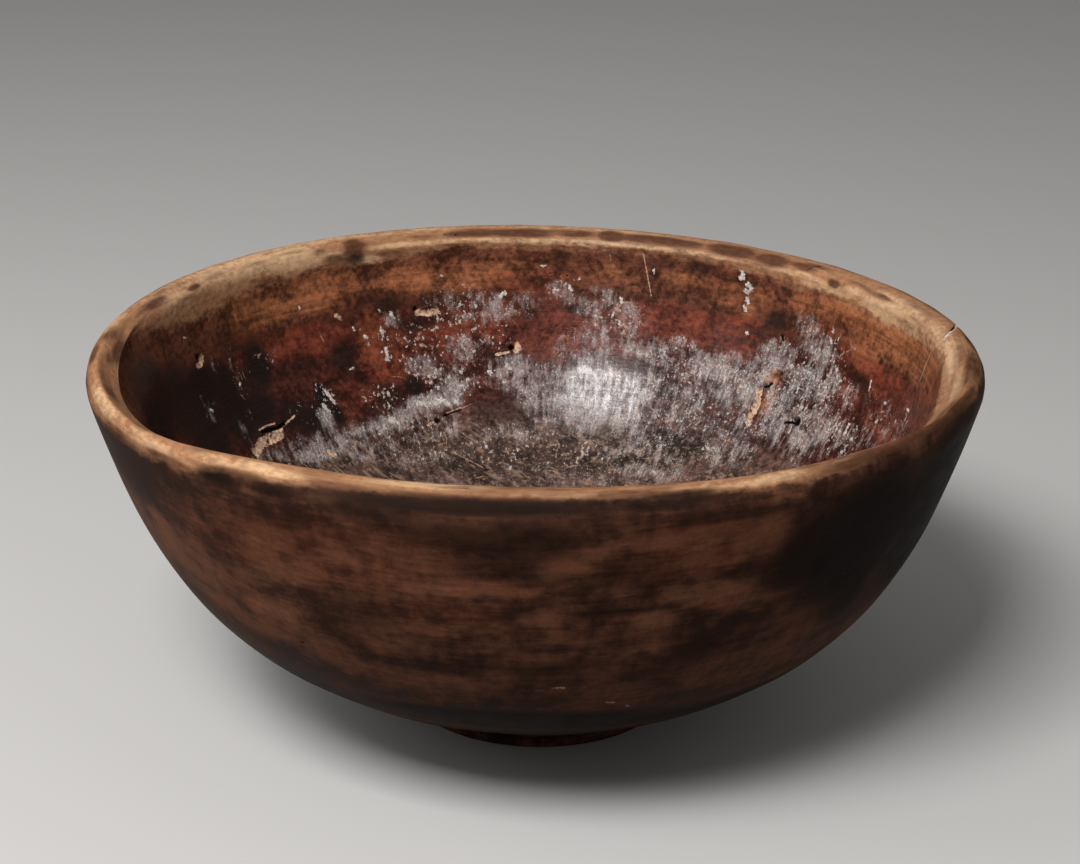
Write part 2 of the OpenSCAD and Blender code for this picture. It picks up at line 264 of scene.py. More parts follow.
RIM_BROWN_PATCHES = (
    (101, 5.4, 5, 3.2, 0.8), (93, 5.6, 6, 3.4, 1), (85, 5, 4, 3.2, 0.85), (78.6, 5, 2.4, 4, 1),
    (70, 5.4, 8, 3.4, 0.95), (58, 5.4, 5, 4.4, 1), (51, 6, 4, 4.4, 0.95), (45, 5, 3, 3, 0.7),
    (37.5, 9.4, 1.6, 2.4, 1), (42.5, 2.6, 3, 1.8, 0.7), (33, 5.4, 6, 1.6, 0.5), (27, 7, 5, 1.8, 0.6),
    (12, 8.4, 7, 1.6, 0.45), (16, 2.6, 8, 2, 0.4), (122.4, 8.4, 2.2, 5.6, 1), (126.5, 14, 2.6, 3, 0.6),
    (116, 14, 3, 2, 0.6), (157.4, 6.6, 1.9, 2, 1), (160, 10, 3, 1.6, 0.6), (151, 5.8, 3, 1.4, 0.55),
    (143, 6.6, 4, 1.4, 0.45), (134, 5.2, 4, 1.4, 0.45), (129, 8, 1.6, 3, 0.6), (110, 6.2, 3, 1.4, 0.5),
    (171, 2, 4, 2, 0.5), (-178, 6, 5, 3, 0.6), (-86, -1, 15, 7, 0.5), (-55, -4, 5, 5, 0.5),
    (-62, -3, 4, 2, 0.4), (-179, 0, 5, 3, 0.4), (-165, -4, 5, 3, 0.4), (-157, -3, 4, 3, 0.5),
    (-131, -4, 3, 5, 0.4), (-115, -2, 3, 4, 0.35), (-143, -6, 3, 4, 0.4), (-66, -4, 4, 3, 0.3),
    (-104, 0, 8, 5, 0.3), (-174, 2, 4, 3, 0.9), (168, 4, 4, 3, 0.8), (164, 0, 3, 2, 0.5),
    (-176, -6, 2, 4, 0.4), (167, 7, 3, 1.6, 0.4), (-178, -3, 3, 3, 0.5), (-170, -1, 3, 2, 0.5),
    (-171, -9, 4, 3, 0.7), (-165, -16, 5, 3, 0.6), (-147, -16, 6, 2, 0.6), (-135, -15, 5, 2, 0.6),
    (-124, -10.5, 4, 1.8, 0.7), (-112, -7, 5, 1.6, 0.5), (-100, -7, 8, 1.4, 0.5), (-92, -8, 3, 1.4, 0.6),
    (-81, -7, 5, 1.6, 0.5), (-74, -8.5, 4, 1.6, 0.6), (-53, -10, 5, 2.2, 0.6), (-40, -9, 12, 4, 0.95),
    (-26, -8, 10, 4, 0.8), (-30, -2, 14, 5, 0.6), (-12, -5, 8, 4, 0.7), (-6, 1, 5, 3, 0.5),
    (3, -8, 8, 3, 0.7), (20, -6, 12, 4, 0.6), (40, -6, 8, 4, 0.8), (75, -7, 16, 4, 0.5),
    (110, -8, 14, 3, 0.5), (135, -8, 12, 3, 0.4), (162, -7, 4, 3, 0.8),
)
RIM_PALE_AND_HIGHLIGHT_PATCHES = (
    (-153, -10, 7, 4, 0.8), (-140, -11.5, 6, 3, 0.6), (-120, -6, 5, 2.6, 0.8), (-127, -8, 5, 2.4, 0.6),
    # (-102, -1.5) is a painted highlight: the glint of light along the front rim's crest
    (-102, -1.5, 8, 2.6, 0.9), (-88, -5.4, 6, 2, 0.45), (-63, -8, 5, 2.4, 0.7), (-71, -7, 5, 2, 0.35),
    (-52, -8, 6, 2, 0.4), (-17, -1, 8, 3, 0.6), (-4, 4, 7, 4, 0.85), (8, 7, 7, 5, 0.6),
    (156, 6, 10, 4, 0.6), (145, 6, 9, 8, 0.8), (135, 8, 7, 7, 1), (129, 12, 5, 3.6, 0.8),
    # The narrow bands at depths 10.4 to 10.8 from 46 to 113 degrees are a painted highlight along the
    # ridge inside the rim, on worn pale wood
    (120, 16.6, 2.4, 2.6, 0.9), (150, 0, 14, 3, 0.6), (130, 0, 12, 3, 0.6), (113, 10.4, 8, 1.8, 0.7),
    (101, 10.4, 8, 1.6, 0.75), (113, 1, 14, 2.2, 0.5), (84, 10.8, 14, 1.6, 1), (84, 1, 16, 2, 0.45),
    (64, 10.4, 9, 1.3, 0.75), (46, 10.4, 6, 2, 0.7), (40, 12.4, 8, 2.6, 0.65), (24, 12.4, 6, 6, 0.95),
    (32, 11, 4, 4, 0.6), (14, 12, 8, 5, 0.6), (6, 4, 8, 3, 0.6), (178, -5, 5, 4, 0.6),
    (165, -1, 7, 3, 0.4), (162, 8, 7, 7, 0.6), (152, 8, 7, 6, 0.45), (20, 6, 9, 4, 0.8),
    (4, 11, 8, 4, 0.6),
)

# Where the pale worn rim ends: azimuth, depth on the outside and depth on the inside
RIM_EDGES = (
    (-180, -18, 6.5), (-160, -18, 5.5), (-150, -17.5, 5.5), (-138, -17, 7), (-130, -15, 10),
    (-126, -11.5, 12), (-120, -10.5, 13), (-114, -8, 13), (-106, -7, 13), (-95, -6.6, 13), (-84, -8, 13),
    (-72, -8.6, 13), (-66, -11, 13), (-58, -12, 13), (-45, -10.5, 12), (-36, -10, 12), (-24, -11, 10),
    (-12, -12, 10), (0, -13, 12), (15, -15, 16), (25, -12, 18), (35, -12, 16.5), (45, -11, 15.6),
    (60, -12, 12.8), (85, -13, 12.4), (105, -12, 12.6), (112, -12, 14.2), (118, -12, 17.6),
    (124, -12, 15.4), (132, -13, 15.8), (145, -14, 18), (152, -15, 20), (158, -15, 22), (165, -15, 20),
    (172, -15, 13), (180, -18, 7),
)

# Where wear has cut the rim's top down to a slope that falls inwards: azimuth, depth that the slope
# starts at, and its fall in degrees. A start at the fall's own place on the inner round cuts nothing.
RIM_SLOPES = (
    (-180, -3, 40), (-170, -5, 44), (-160, -7, 46), (-150, -8, 42), (-142, -8, 36), (-135, -6.5, 32),
    (-130, -4.5, 30), (-125, -2.5, 28), (-120, -0.5, 27), (-114, 2.5, 26), (-100, 3, 25), (-92, 1, 25),
    (-85, -1, 25), (-78, -2.5, 26), (-70, -4, 27), (-60, -5.5, 30), (-50, -6, 33), (-42, -7, 36),
    (-30, -8, 42), (-20, -7, 44), (-10, -2, 38), (0, 2, 30), (20, 4, 27), (160, 4, 27), (170, 2, 30),
    (180, -3, 40),
)

# How far apart the noises of two neighbouring seeds are, along each axis
SEED_STEPS = (3.1, 1.7, 2.3)

# Broad wear of the form. The first value of each pair of limits is where it is gone, and the second
# where it is full.
HOLLOW_LIMITS = (4 * MM, 40 * MM)
# The hollows end above the foot, and nothing at all moves the face under it
FOOT_TOP = -230 * MM
UNDER_FOOT = -249.5 * MM
# Lumps of the hollows: size, seed and share
HOLLOW_LUMPS = ((70 * MM, 1, 0.6), (28 * MM, 2, 0.25))
RIM_BUMP_LIMITS = (24 * MM, 10 * MM)
RIM_BUMP_SIZE = 16 * MM
RIM_BUMP_SEED = 3
RIM_BUMP_HEIGHT = 0.35 * MM
# Depth and half width of the ridge inside the rim, and of the hollow worn above it
RIDGE = (11.2 * MM, 1.6 * MM)
RIDGE_HOLLOW = (6.8 * MM, 2.6 * MM)
HOLLOW_SHARE = 0.9
# The thin stretch of wall starts under the crest and ends in the wall
THIN_BELOW_CREST = (MM, 9 * MM)
THIN_ABOVE_WALL = (40 * MM, 14 * MM)
# The slope that wear cuts keeps near the rim, and near its own plane
SLOPE_DEPTH_LIMITS = (60 * MM, 36 * MM)
SLOPE_HEIGHT_LIMITS = (-8 * MM, -3 * MM)
# Sectors round the axis: the middle, and how far from it the wear is gone and is full, in radians
RIDGE_SECTOR = (math.radians(66), 1.15, 0.8)
SHINE_SECTOR = (math.radians(84), 0.62, 0.3)
THIN_SECTOR = (math.radians(-168), math.radians(26), math.radians(8))

# How softly the painted zones end: patches as shares of their half size, and the rim's two edges
PATCH_EDGE = (1.45, 0.45)
RIM_SOFT_INSIDE = 7 * MM
RIM_SOFT_OUTSIDE = 4 * MM

# Marks: limits of their hollow, of their sunk floor and of their paint, as shares of the half width
MARK_HOLLOW = (1.3, 0.3)
MARK_FLOOR = (1.25, 0.75)
MARK_PAINT = (1.8, 0.2)
# How deep each kind of mark's edge is drawn in and out, as a share of its half width
RAGGEDNESS = {"hole": 0.15, "slit": 0.3, "bare": 0.4, "scratch": 0.3, "residue": 0.35}
EDGE_SEED = 10
# Lumps that draw the edge in and out: their size as a share of the half width, and the least size
EDGE_LUMPS = (0.9, 0.8)
# A mark is looked for as far as this many half widths and this many millimetres from its path
MARK_REACH = (1.3, 2.6)
# Lumps on the floor of a bare patch: share of its depth, size and seed
BARE_LUMPS = (0.18, 1.2 * MM, 60)
# A path is laid flat at its own radius, but never nearer to the axis than this
PATH_RADIUS = 10 * MM
# Distance round each mark that is cut finer, pass by pass, and the widest mark that still needs the pass
FINE_PASSES = ((3.2, 99.0), (1.5, 1.6), (0.7, 0.75))

# Sizes and colours that a user may change


def length_value(name, description, default):
    """A length, in metres."""
    return FloatProperty(name=name, description=description, default=default, unit="LENGTH")


def angle_value(name, description, degrees):
    """An angle, whose default is given in degrees."""
    return FloatProperty(
        name=name, description=description, default=math.radians(degrees), subtype="ANGLE"
    )


def share_value(name, description, default):
    """A share of something else."""
    return FloatProperty(name=name, description=description, default=default, subtype="FACTOR")


def colour_value(name, description, default):
    """A colour, as red, green and blue."""
    return FloatVectorProperty(name=name, description=description, default=default, subtype="COLOR")


class DoughBowlSizes(bpy.types.PropertyGroup):
    """Sizes of the turned bowl, as the solid part has them."""

    height: length_value("Height", "Height of the rim's crest", CAD_HIGH.z)
    radius: length_value("Radius", "Radius at the widest place", round(CAD_HIGH.x, 3))
    floor_thickness: length_value(
        "Floor thickness", "Thickness of the wood at the middle of the floor", 0.024
    )
    rim_thickness: length_value("Rim thickness", "Thickness of the wall at the rim", 0.019)
    outer_edge_radius: length_value("Outer edge radius", "Radius of the rim's worn outer edge", 0.011)
    outer_flare: angle_value("Outer flare", "Lean of the outside at the rim", 17)
    inner_flare: angle_value("Inner flare", "Lean of the inside at the rim", 9)
    foot_radius: length_value("Foot radius", "Radius of the foot", 0.062)
    foot_height: length_value("Foot height", "Height of the foot's upright side", 0.004)
    foot_edge_radius: length_value(
        "Foot edge radius", "Radius of the round on the foot's lower edge", 0.001
    )
    cove_radius: length_value("Cove radius", "Radius of the cove between the foot and the wall", 0.003)
    underside_angle: angle_value("Underside angle", "Angle at which the outside leaves the cove", 21)
    underside_share: share_value(
        "Underside reach", "Reach of the outside's lower curve, as a share of its width", 0.74
    )
    upper_share: share_value(
        "Upper reach", "Reach of the outside's upper curve, as a share of its height", 0.59
    )
    floor_share: share_value(
        "Floor reach", "Reach of the floor's level curve, as a share of the inner radius", 0.56
    )
    inside_share: share_value(
        "Inside reach", "Reach of the inside's upper curve, as a share of the depth", 0.64
    )
    sides: IntProperty(
        name="Sides", description="Steps round the axis that the section is spun in", default=320, min=48
    )


class DoughBowlWear(bpy.types.PropertyGroup):
    """How far age has moved the bowl away from a true turned form."""

    oval: share_value("Oval", "Share by which the rim is longer one way, from the wood's shrinking", 0.02)
    oval_azimuth: angle_value("Oval azimuth", "Direction that the rim is longest in", 56)
    saddle: length_value("Saddle", "Rise and fall of the rim's crest", 0.0014)
    saddle_azimuth: angle_value("Saddle azimuth", "Direction that the rim is highest in", 135)
    lean: length_value("Lean", "How far the foot sits to the right of the rim", 0.0015)
    unevenness: length_value("Unevenness", "Height of the broad worn hollows in the wall", 0.0012)
    ridge: length_value("Ridge", "Height of the ridge that wear left inside the rim", 0.0005)
    thinned: length_value("Thinned", "How much thinner the wall is worn under the rim at the left", 0.006)
    slope_round: length_value(
        "Slope round", "How softly the worn slope turns into the rim's outer edge", 0.0012
    )


class DoughBowlColours(bpy.types.PropertyGroup):
    """Colours of the bowl's wood and of what has settled on it."""

    rim_tan: colour_value("Rim, tan", "Worn wood of the rim", (0.40, 0.195, 0.098))
    # The rim's pale colour is also used for painted highlights on the front crest and along the ridge at
    # the back
    rim_pale_and_highlight: colour_value("Rim, pale", "Palest worn places of the rim", (0.68, 0.42, 0.235))
    rim_brown: colour_value("Rim, brown", "Mottles on the worn rim", (0.095, 0.034, 0.018))
    outer_brown: colour_value("Outside, brown", "Lighter patches of the outside", (0.255, 0.105, 0.060))
    outer_dark: colour_value("Outside, dark", "Darker wood of the outside", (0.036, 0.0155, 0.0105))
    outer_red: colour_value("Outside, russet", "Reddish patches of the outside", (0.18, 0.056, 0.030))
    inner_brown: colour_value("Inside, brown", "Wood of the inside's upper band", (0.120, 0.038, 0.019))
    orange_tan: colour_value(
        "Inside, orange-tan", "Most worn places of the upper band", (0.42, 0.150, 0.062)
    )
    burgundy: colour_value("Inside, burgundy", "Red stained band of the inside", (0.068, 0.016, 0.010))
    rust: colour_value("Inside, rust", "Lighter places of the red stained band", (0.22, 0.047, 0.024))
    floor_brown: colour_value("Inside, floor", "Dull brown of the bowl's floor", (0.085, 0.048, 0.038))
    # Also laid on through the dark zone as painted shade
    soot_and_shade: colour_value("Black stain", "Stains that are nearly black", (0.009, 0.0062, 0.005))
    hole: colour_value("Hole", "Dark inside of a hole or a crack", (0.004, 0.003, 0.002))
    # Also the colour of painted sheen on the greasy inside
    film: colour_value("Flour film", "Grey-white film of old flour", (0.47, 0.39, 0.37))
    bare: colour_value("Bare wood", "Fresh wood where the surface has broken away", (0.62, 0.40, 0.27))
    # Also the colour of the film's pale specks, which are partly painted glints
    residue: colour_value("Dried dough", "Lumps and flecks of dried dough", (0.66, 0.60, 0.54))


class DoughBowlStage(bpy.types.PropertyGroup):
    """The floor, the light and the camera."""

    floor_colour: colour_value("Floor colour", "Colour of the plain floor", (0.66, 0.645, 0.63))
    floor_bounce: colour_value(
        "Floor bounce", "Colour of the light that the floor throws back up", (0.13, 0.127, 0.124)
    )
    floor_radius: length_value("Floor radius", "Radius of the round floor", 8.0)
    sky_strength: FloatProperty(
        name="Sky strength", description="Strength of the even light from all round", default=0.2
    )
    key_power: FloatProperty(
        name="Key power", description="Power of the large soft light at the front left, in watts",
        default=36.0,
    )
    fill_power: FloatProperty(
        name="Fill power", description="Power of the weak light at the left, in watts", default=7.0
    )
    lens: FloatProperty(
        name="Lens", description="Focal length of the camera, in millimetres", default=73.33, unit="CAMERA"
    )


def smooth_step(value, low, high):
    """0 below low, 1 above high and a smooth rise between them. It also runs downwards."""
    share = np.clip((value - low) / (high - low), 0, 1)
    return share * share * (3 - 2 * share)


# The section


def on_round(centre, radius, angle):
    """Point on a round at an angle above level."""
    return (centre[0] + radius * math.cos(angle), centre[1] + radius * math.sin(angle))


def round_points(centre, radius, start, end, steps=24):
    """Points of a round from one angle to another, ends included."""
    return [on_round(centre, radius, start + (end - start) * i / steps) for i in range(steps + 1)]


def curve_points(a, b, c, d, steps=300):
    """Points between the ends of a cubic curve that leaves a towards b and reaches d from c."""
    shares = np.arange(1, steps)[:, None] / steps
    rest = 1 - shares
    points = (
        rest**3 * np.array(a)
        + 3 * shares * rest**2 * np.array(b)
        + 3 * shares**2 * rest * np.array(c)
        + shares**3 * np.array(d)
    )
    return [tuple(p) for p in points]


class Section:
    """Half of the bowl's section, as radius and height, and the depth along it from the crest."""

    def __init__(self, size):
        inner_edge_radius = size.rim_thickness - size.outer_edge_radius
        crest_radius = size.radius - size.outer_edge_radius
        outer_edge = (crest_radius, size.height - size.outer_edge_radius)
        inner_edge = (crest_radius, size.height - inner_edge_radius)
        foot_edge = (size.foot_radius - size.foot_edge_radius, size.foot_edge_radius)
        cove = (size.foot_radius, size.foot_height + size.cove_radius)
        quarter = math.pi / 2

        outside_start = on_round(cove, size.cove_radius, quarter + size.underside_angle)
        outside_end = on_round(outer_edge, size.outer_edge_radius, -size.outer_flare)
        low_reach = size.underside_share * (outside_end[0] - outside_start[0])
        high_reach = size.upper_share * (outside_end[1] - outside_start[1])
        low_handle = on_round(outside_start, low_reach, size.underside_angle)
        high_handle = on_round(outside_end, high_reach, -quarter - size.outer_flare)

        inside_start = on_round(inner_edge, inner_edge_radius, math.pi - size.inner_flare)
        inside_end = (0.0, size.floor_thickness)
        wall_reach = size.inside_share * (inside_start[1] - inside_end[1])
        wall_handle = on_round(inside_start, wall_reach, -quarter - size.inner_flare)
        floor_handle = (size.floor_share * inside_start[0], size.floor_thickness)

        outside = (
            [(0.0, 0.0)]
            + round_points(foot_edge, size.foot_edge_radius, -quarter, 0.0)
            + round_points(cove, size.cove_radius, 3 * quarter, quarter + size.underside_angle)
            + curve_points(outside_start, low_handle, high_handle, outside_end)
            + round_points(outer_edge, size.outer_edge_radius, -size.outer_flare, quarter)
        )
        inside = (
            round_points(inner_edge, inner_edge_radius, quarter, math.pi - size.inner_flare)[1:]
            + curve_points(inside_start, wall_handle, floor_handle, inside_end)
            + [inside_end]
        )
        self.points = np.array(outside + inside)
        steps = np.hypot(*np.diff(self.points, axis=0).T)
        run = np.concatenate([[0.0], np.cumsum(steps)])
        self.depths = run - run[len(outside) - 1]
        self.height = size.height

    def at(self, depth):
        """Radius and height at a depth."""
        radius = np.interp(depth, self.depths, self.points[:, 0])
        height = np.interp(depth, self.depths, self.points[:, 1])
        return radius, height

    def outward(self, depth, reach=0.4 * MM):
        """Direction out of the wood at a depth, as shares of radius and height."""
        before = np.stack(self.at(depth - reach), -1)
        after = np.stack(self.at(depth + reach), -1)
        along = after - before
        along /= np.maximum(np.hypot(along[..., 0], along[..., 1]), 1e-9)[..., None]
        return along[..., 1], -along[..., 0]

    def ring_depths(self):
        """Depths of the rings that the section is extruded through, from the foot to the floor."""
        depths = [self.depths[0]]
        for end, spacing in RING_STRETCHES:
            end = min(end * MM, self.depths[-1])
            steps = max(1, round((end - depths[-1]) / (spacing * MM)))
            depths += list(np.linspace(depths[-1], end, steps + 1)[1:])
        return np.array(depths)


# Shaping the bowl


def deselect_everything():
    """Leaves edit mode and clears the selection."""
    if bpy.context.object and bpy.context.object.mode != "OBJECT":
        bpy.ops.object.mode_set(mode="OBJECT")
    bpy.ops.object.select_all(action="DESELECT")


def turn_blank(section, sides):
    """Extrudes one point along the section and spins it round the axis."""
    deselect_everything()
    depths = section.ring_depths()
    radii, heights = section.at(depths)
    radii[0] = radii[-1] = 0.0
    bpy.ops.mesh.primitive_plane_add(size=MM, location=(radii[0], 0, heights[0]))
    bowl = bpy.context.object
    bowl.name = "dough_bowl"
    bowl.data.name = "dough_bowl"
    bpy.ops.object.transform_apply(location=True, rotation=True, scale=True)
    bpy.ops.object.mode_set(mode="EDIT")
    bpy.ops.mesh.select_mode(type="VERT")
    bpy.ops.mesh.select_all(action="SELECT")
    bpy.ops.mesh.merge(type="CENTER")
    for radius, height in zip(np.diff(radii), np.diff(heights)):
        bpy.ops.mesh.extrude_region_move(TRANSFORM_OT_translate={"value": (radius, 0, height)})
    bpy.ops.object.mode_set(mode="OBJECT")
    points = read_points(bowl.data)
    away = np.hypot(points[:, 0, None] - radii, points[:, 2, None] - heights)
    write_values(bowl.data, "depth", depths[np.argmin(away, axis=1)])
    bpy.ops.object.mode_set(mode="EDIT")
    bpy.ops.mesh.select_all(action="SELECT")
    bpy.ops.mesh.spin(steps=sides, angle=2 * math.pi, center=(0, 0, 0), axis=(0, 0, 1))
    bpy.ops.mesh.select_all(action="SELECT")
    bpy.ops.mesh.remove_doubles(threshold=SEAM_GAP)
    bpy.ops.mesh.normals_make_consistent(inside=False)
    bpy.ops.object.mode_set(mode="OBJECT")
    return bowl


def read_points(mesh):
    """Vertex places of a mesh as an array."""
    places = np.zeros(len(mesh.vertices) * 3)
    mesh.vertices.foreach_get("co", places)
    return places.reshape(-1, 3)


def read_values(mesh, name):
    """Values of a point attribute as an array."""
    values = np.zeros(len(mesh.vertices), np.float32)
    mesh.attributes[name].data.foreach_get("value", values)
    return values.astype(float)


def write_values(mesh, name, values):
    """Stores one value a vertex for the material to read."""
    attribute = mesh.attributes.get(name) or mesh.attributes.new(name, "FLOAT", "POINT")
    attribute.data.foreach_set("value", np.asarray(values, np.float32))


def turn_between(azimuth, centre):
    """Angle from a centre to an azimuth, in radians, by the shorter way round."""
    return (azimuth - centre + math.pi) % (2 * math.pi) - math.pi


def distance_to_path(section, path, azimuth, depth):
    """Distance along the wood from each place to a path of places."""
    points = [(math.radians(a), d * MM) for a, d in path]
    middle = points[len(points) // 2]
    scale = max(float(section.at(middle[1])[0]), PATH_RADIUS)
    across = turn_between(azimuth, middle[0]) * scale
    flat = [(turn_between(a, middle[0]) * scale, d) for a, d in points]
    best = np.hypot(across - flat[0][0], depth - flat[0][1])
    for start, end in zip(flat, flat[1:]):
        step = (end[0] - start[0], end[1] - start[1])
        length = step[0] ** 2 + step[1] ** 2
        share = ((across - start[0]) * step[0] + (depth - start[1]) * step[1]) / length
        share = np.clip(share, 0, 1)
        away = np.hypot(across - start[0] - share * step[0], depth - start[1] - share * step[1])
        best = np.minimum(best, away)
    return best


def all_marks():
    """Every small mark as its kind, half width, relief, strength and path."""
    marks = [("hole", width, deep, 1.0, ((a, d),)) for a, d, width, deep in HOLES]
    for kind, table in (("slit", SLITS), ("bare", BARE_PATCHES), ("residue", RESIDUES)):
        marks += [(kind, width, relief, 1.0, path) for width, relief, path in table]
    marks += [("scratch", width, SCRATCH_DEPTH, shows, path) for width, shows, path in SCRATCHES]
    return marks


def cut_finer(bowl, section):
    """Subdivides the faces round the small marks, in passes that close in on them."""
    for reach, widest in FINE_PASSES:
        mesh = bowl.data
        points = read_points(mesh)
        depths = read_values(mesh, "depth")
        corners = np.zeros(len(mesh.loops), np.int64)
        mesh.loops.foreach_get("vertex_index", corners)
        totals = np.zeros(len(mesh.polygons), np.int64)
        mesh.polygons.foreach_get("loop_total", totals)
        owner = np.repeat(np.arange(len(totals)), totals)
        centres = np.zeros((len(totals), 3))
        np.add.at(centres, owner, points[corners])
        centres /= totals[:, None]
        middle_depths = np.bincount(owner, weights=depths[corners]) / totals
        azimuths = np.arctan2(centres[:, 1], centres[:, 0])
        chosen = np.zeros(len(totals), bool)
        for _, width, _, _, path in all_marks():
            if width > widest:
                continue
            away = distance_to_path(section, path, azimuths, middle_depths)
            chosen |= away < (width + reach) * MM
        deselect_everything()
        bowl.select_set(True)
        bpy.context.view_layer.objects.active = bowl
        bpy.ops.object.mode_set(mode="EDIT")
        bpy.ops.mesh.select_mode(type="FACE")
        bpy.ops.mesh.select_all(action="DESELECT")
        bpy.ops.object.mode_set(mode="OBJECT")
        mesh.polygons.foreach_set("select", chosen)
        bpy.ops.object.mode_set(mode="EDIT")
        bpy.ops.mesh.subdivide(number_cuts=1, ngon=False)
        bpy.ops.object.mode_set(mode="OBJECT")


def ragged(points, size, seed):
    """Smooth noise from about -1 to 1 at each point, with lumps of the given size."""
    shift = Vector([seed * step for step in SEED_STEPS])
    return np.array([noise.noise(Vector(p) / size + shift) for p in points])


def in_sector(azimuth, sector):
    """1 in the middle of a sector round the axis, falling softly to 0 outside it."""
    middle, gone, full = sector
    return smooth_step(np.abs(turn_between(azimuth, middle)), gone, full)


def hump(depth, place):
    """1 at a depth, falling off to both sides over a half width."""
    middle, half_width = place
    return np.exp(-(((depth - middle) / half_width) ** 2))


def paint_zone(patches, azimuth, depth):
    """Strength of a zone of soft patches at each vertex."""
    total = np.zeros(len(azimuth))
    for patch_azimuth, patch_depth, half_width, half_height, strength in patches:
        across = turn_between(azimuth, math.radians(patch_azimuth)) / math.radians(half_width)
        along = (depth - patch_depth * MM) / (half_height * MM)
        away = np.hypot(across, along)
        total = np.maximum(total, strength * smooth_step(away, *PATCH_EDGE))
    return total


def paint_rim(azimuth, depth):
    """1 on the pale worn rim, falling through 0.5 at its two edges."""
    table = np.array(RIM_EDGES)
    degrees = np.degrees(azimuth)
    outer = np.interp(degrees, table[:, 0], table[:, 1]) * MM
    inner = np.interp(degrees, table[:, 0], table[:, 2]) * MM
    inside = smooth_step(depth, inner + RIM_SOFT_INSIDE, inner - RIM_SOFT_INSIDE)
    outside = smooth_step(depth, outer - RIM_SOFT_OUTSIDE, outer + RIM_SOFT_OUTSIDE)
    return np.minimum(inside, outside)


def slope_rim(section, wear, azimuth, depth, radius, height):
    """Cuts the rim's top down to a slope that falls inwards from where the wear starts."""
    table = np.array(RIM_SLOPES)
    start = np.interp(np.degrees(azimuth), table[:, 0], table[:, 1]) * MM
    fall = np.tan(np.radians(np.interp(np.degrees(azimuth), table[:, 0], table[:, 2])))
    start_radius, start_height = section.at(start)
    above = height - start_height + fall * (start_radius - radius)
    cut = 0.5 * (above + np.sqrt(above**2 + wear.slope_round**2))
    near_rim = smooth_step(np.abs(depth), *SLOPE_DEPTH_LIMITS)
    return height - cut * near_rim * smooth_step(above, *SLOPE_HEIGHT_LIMITS)


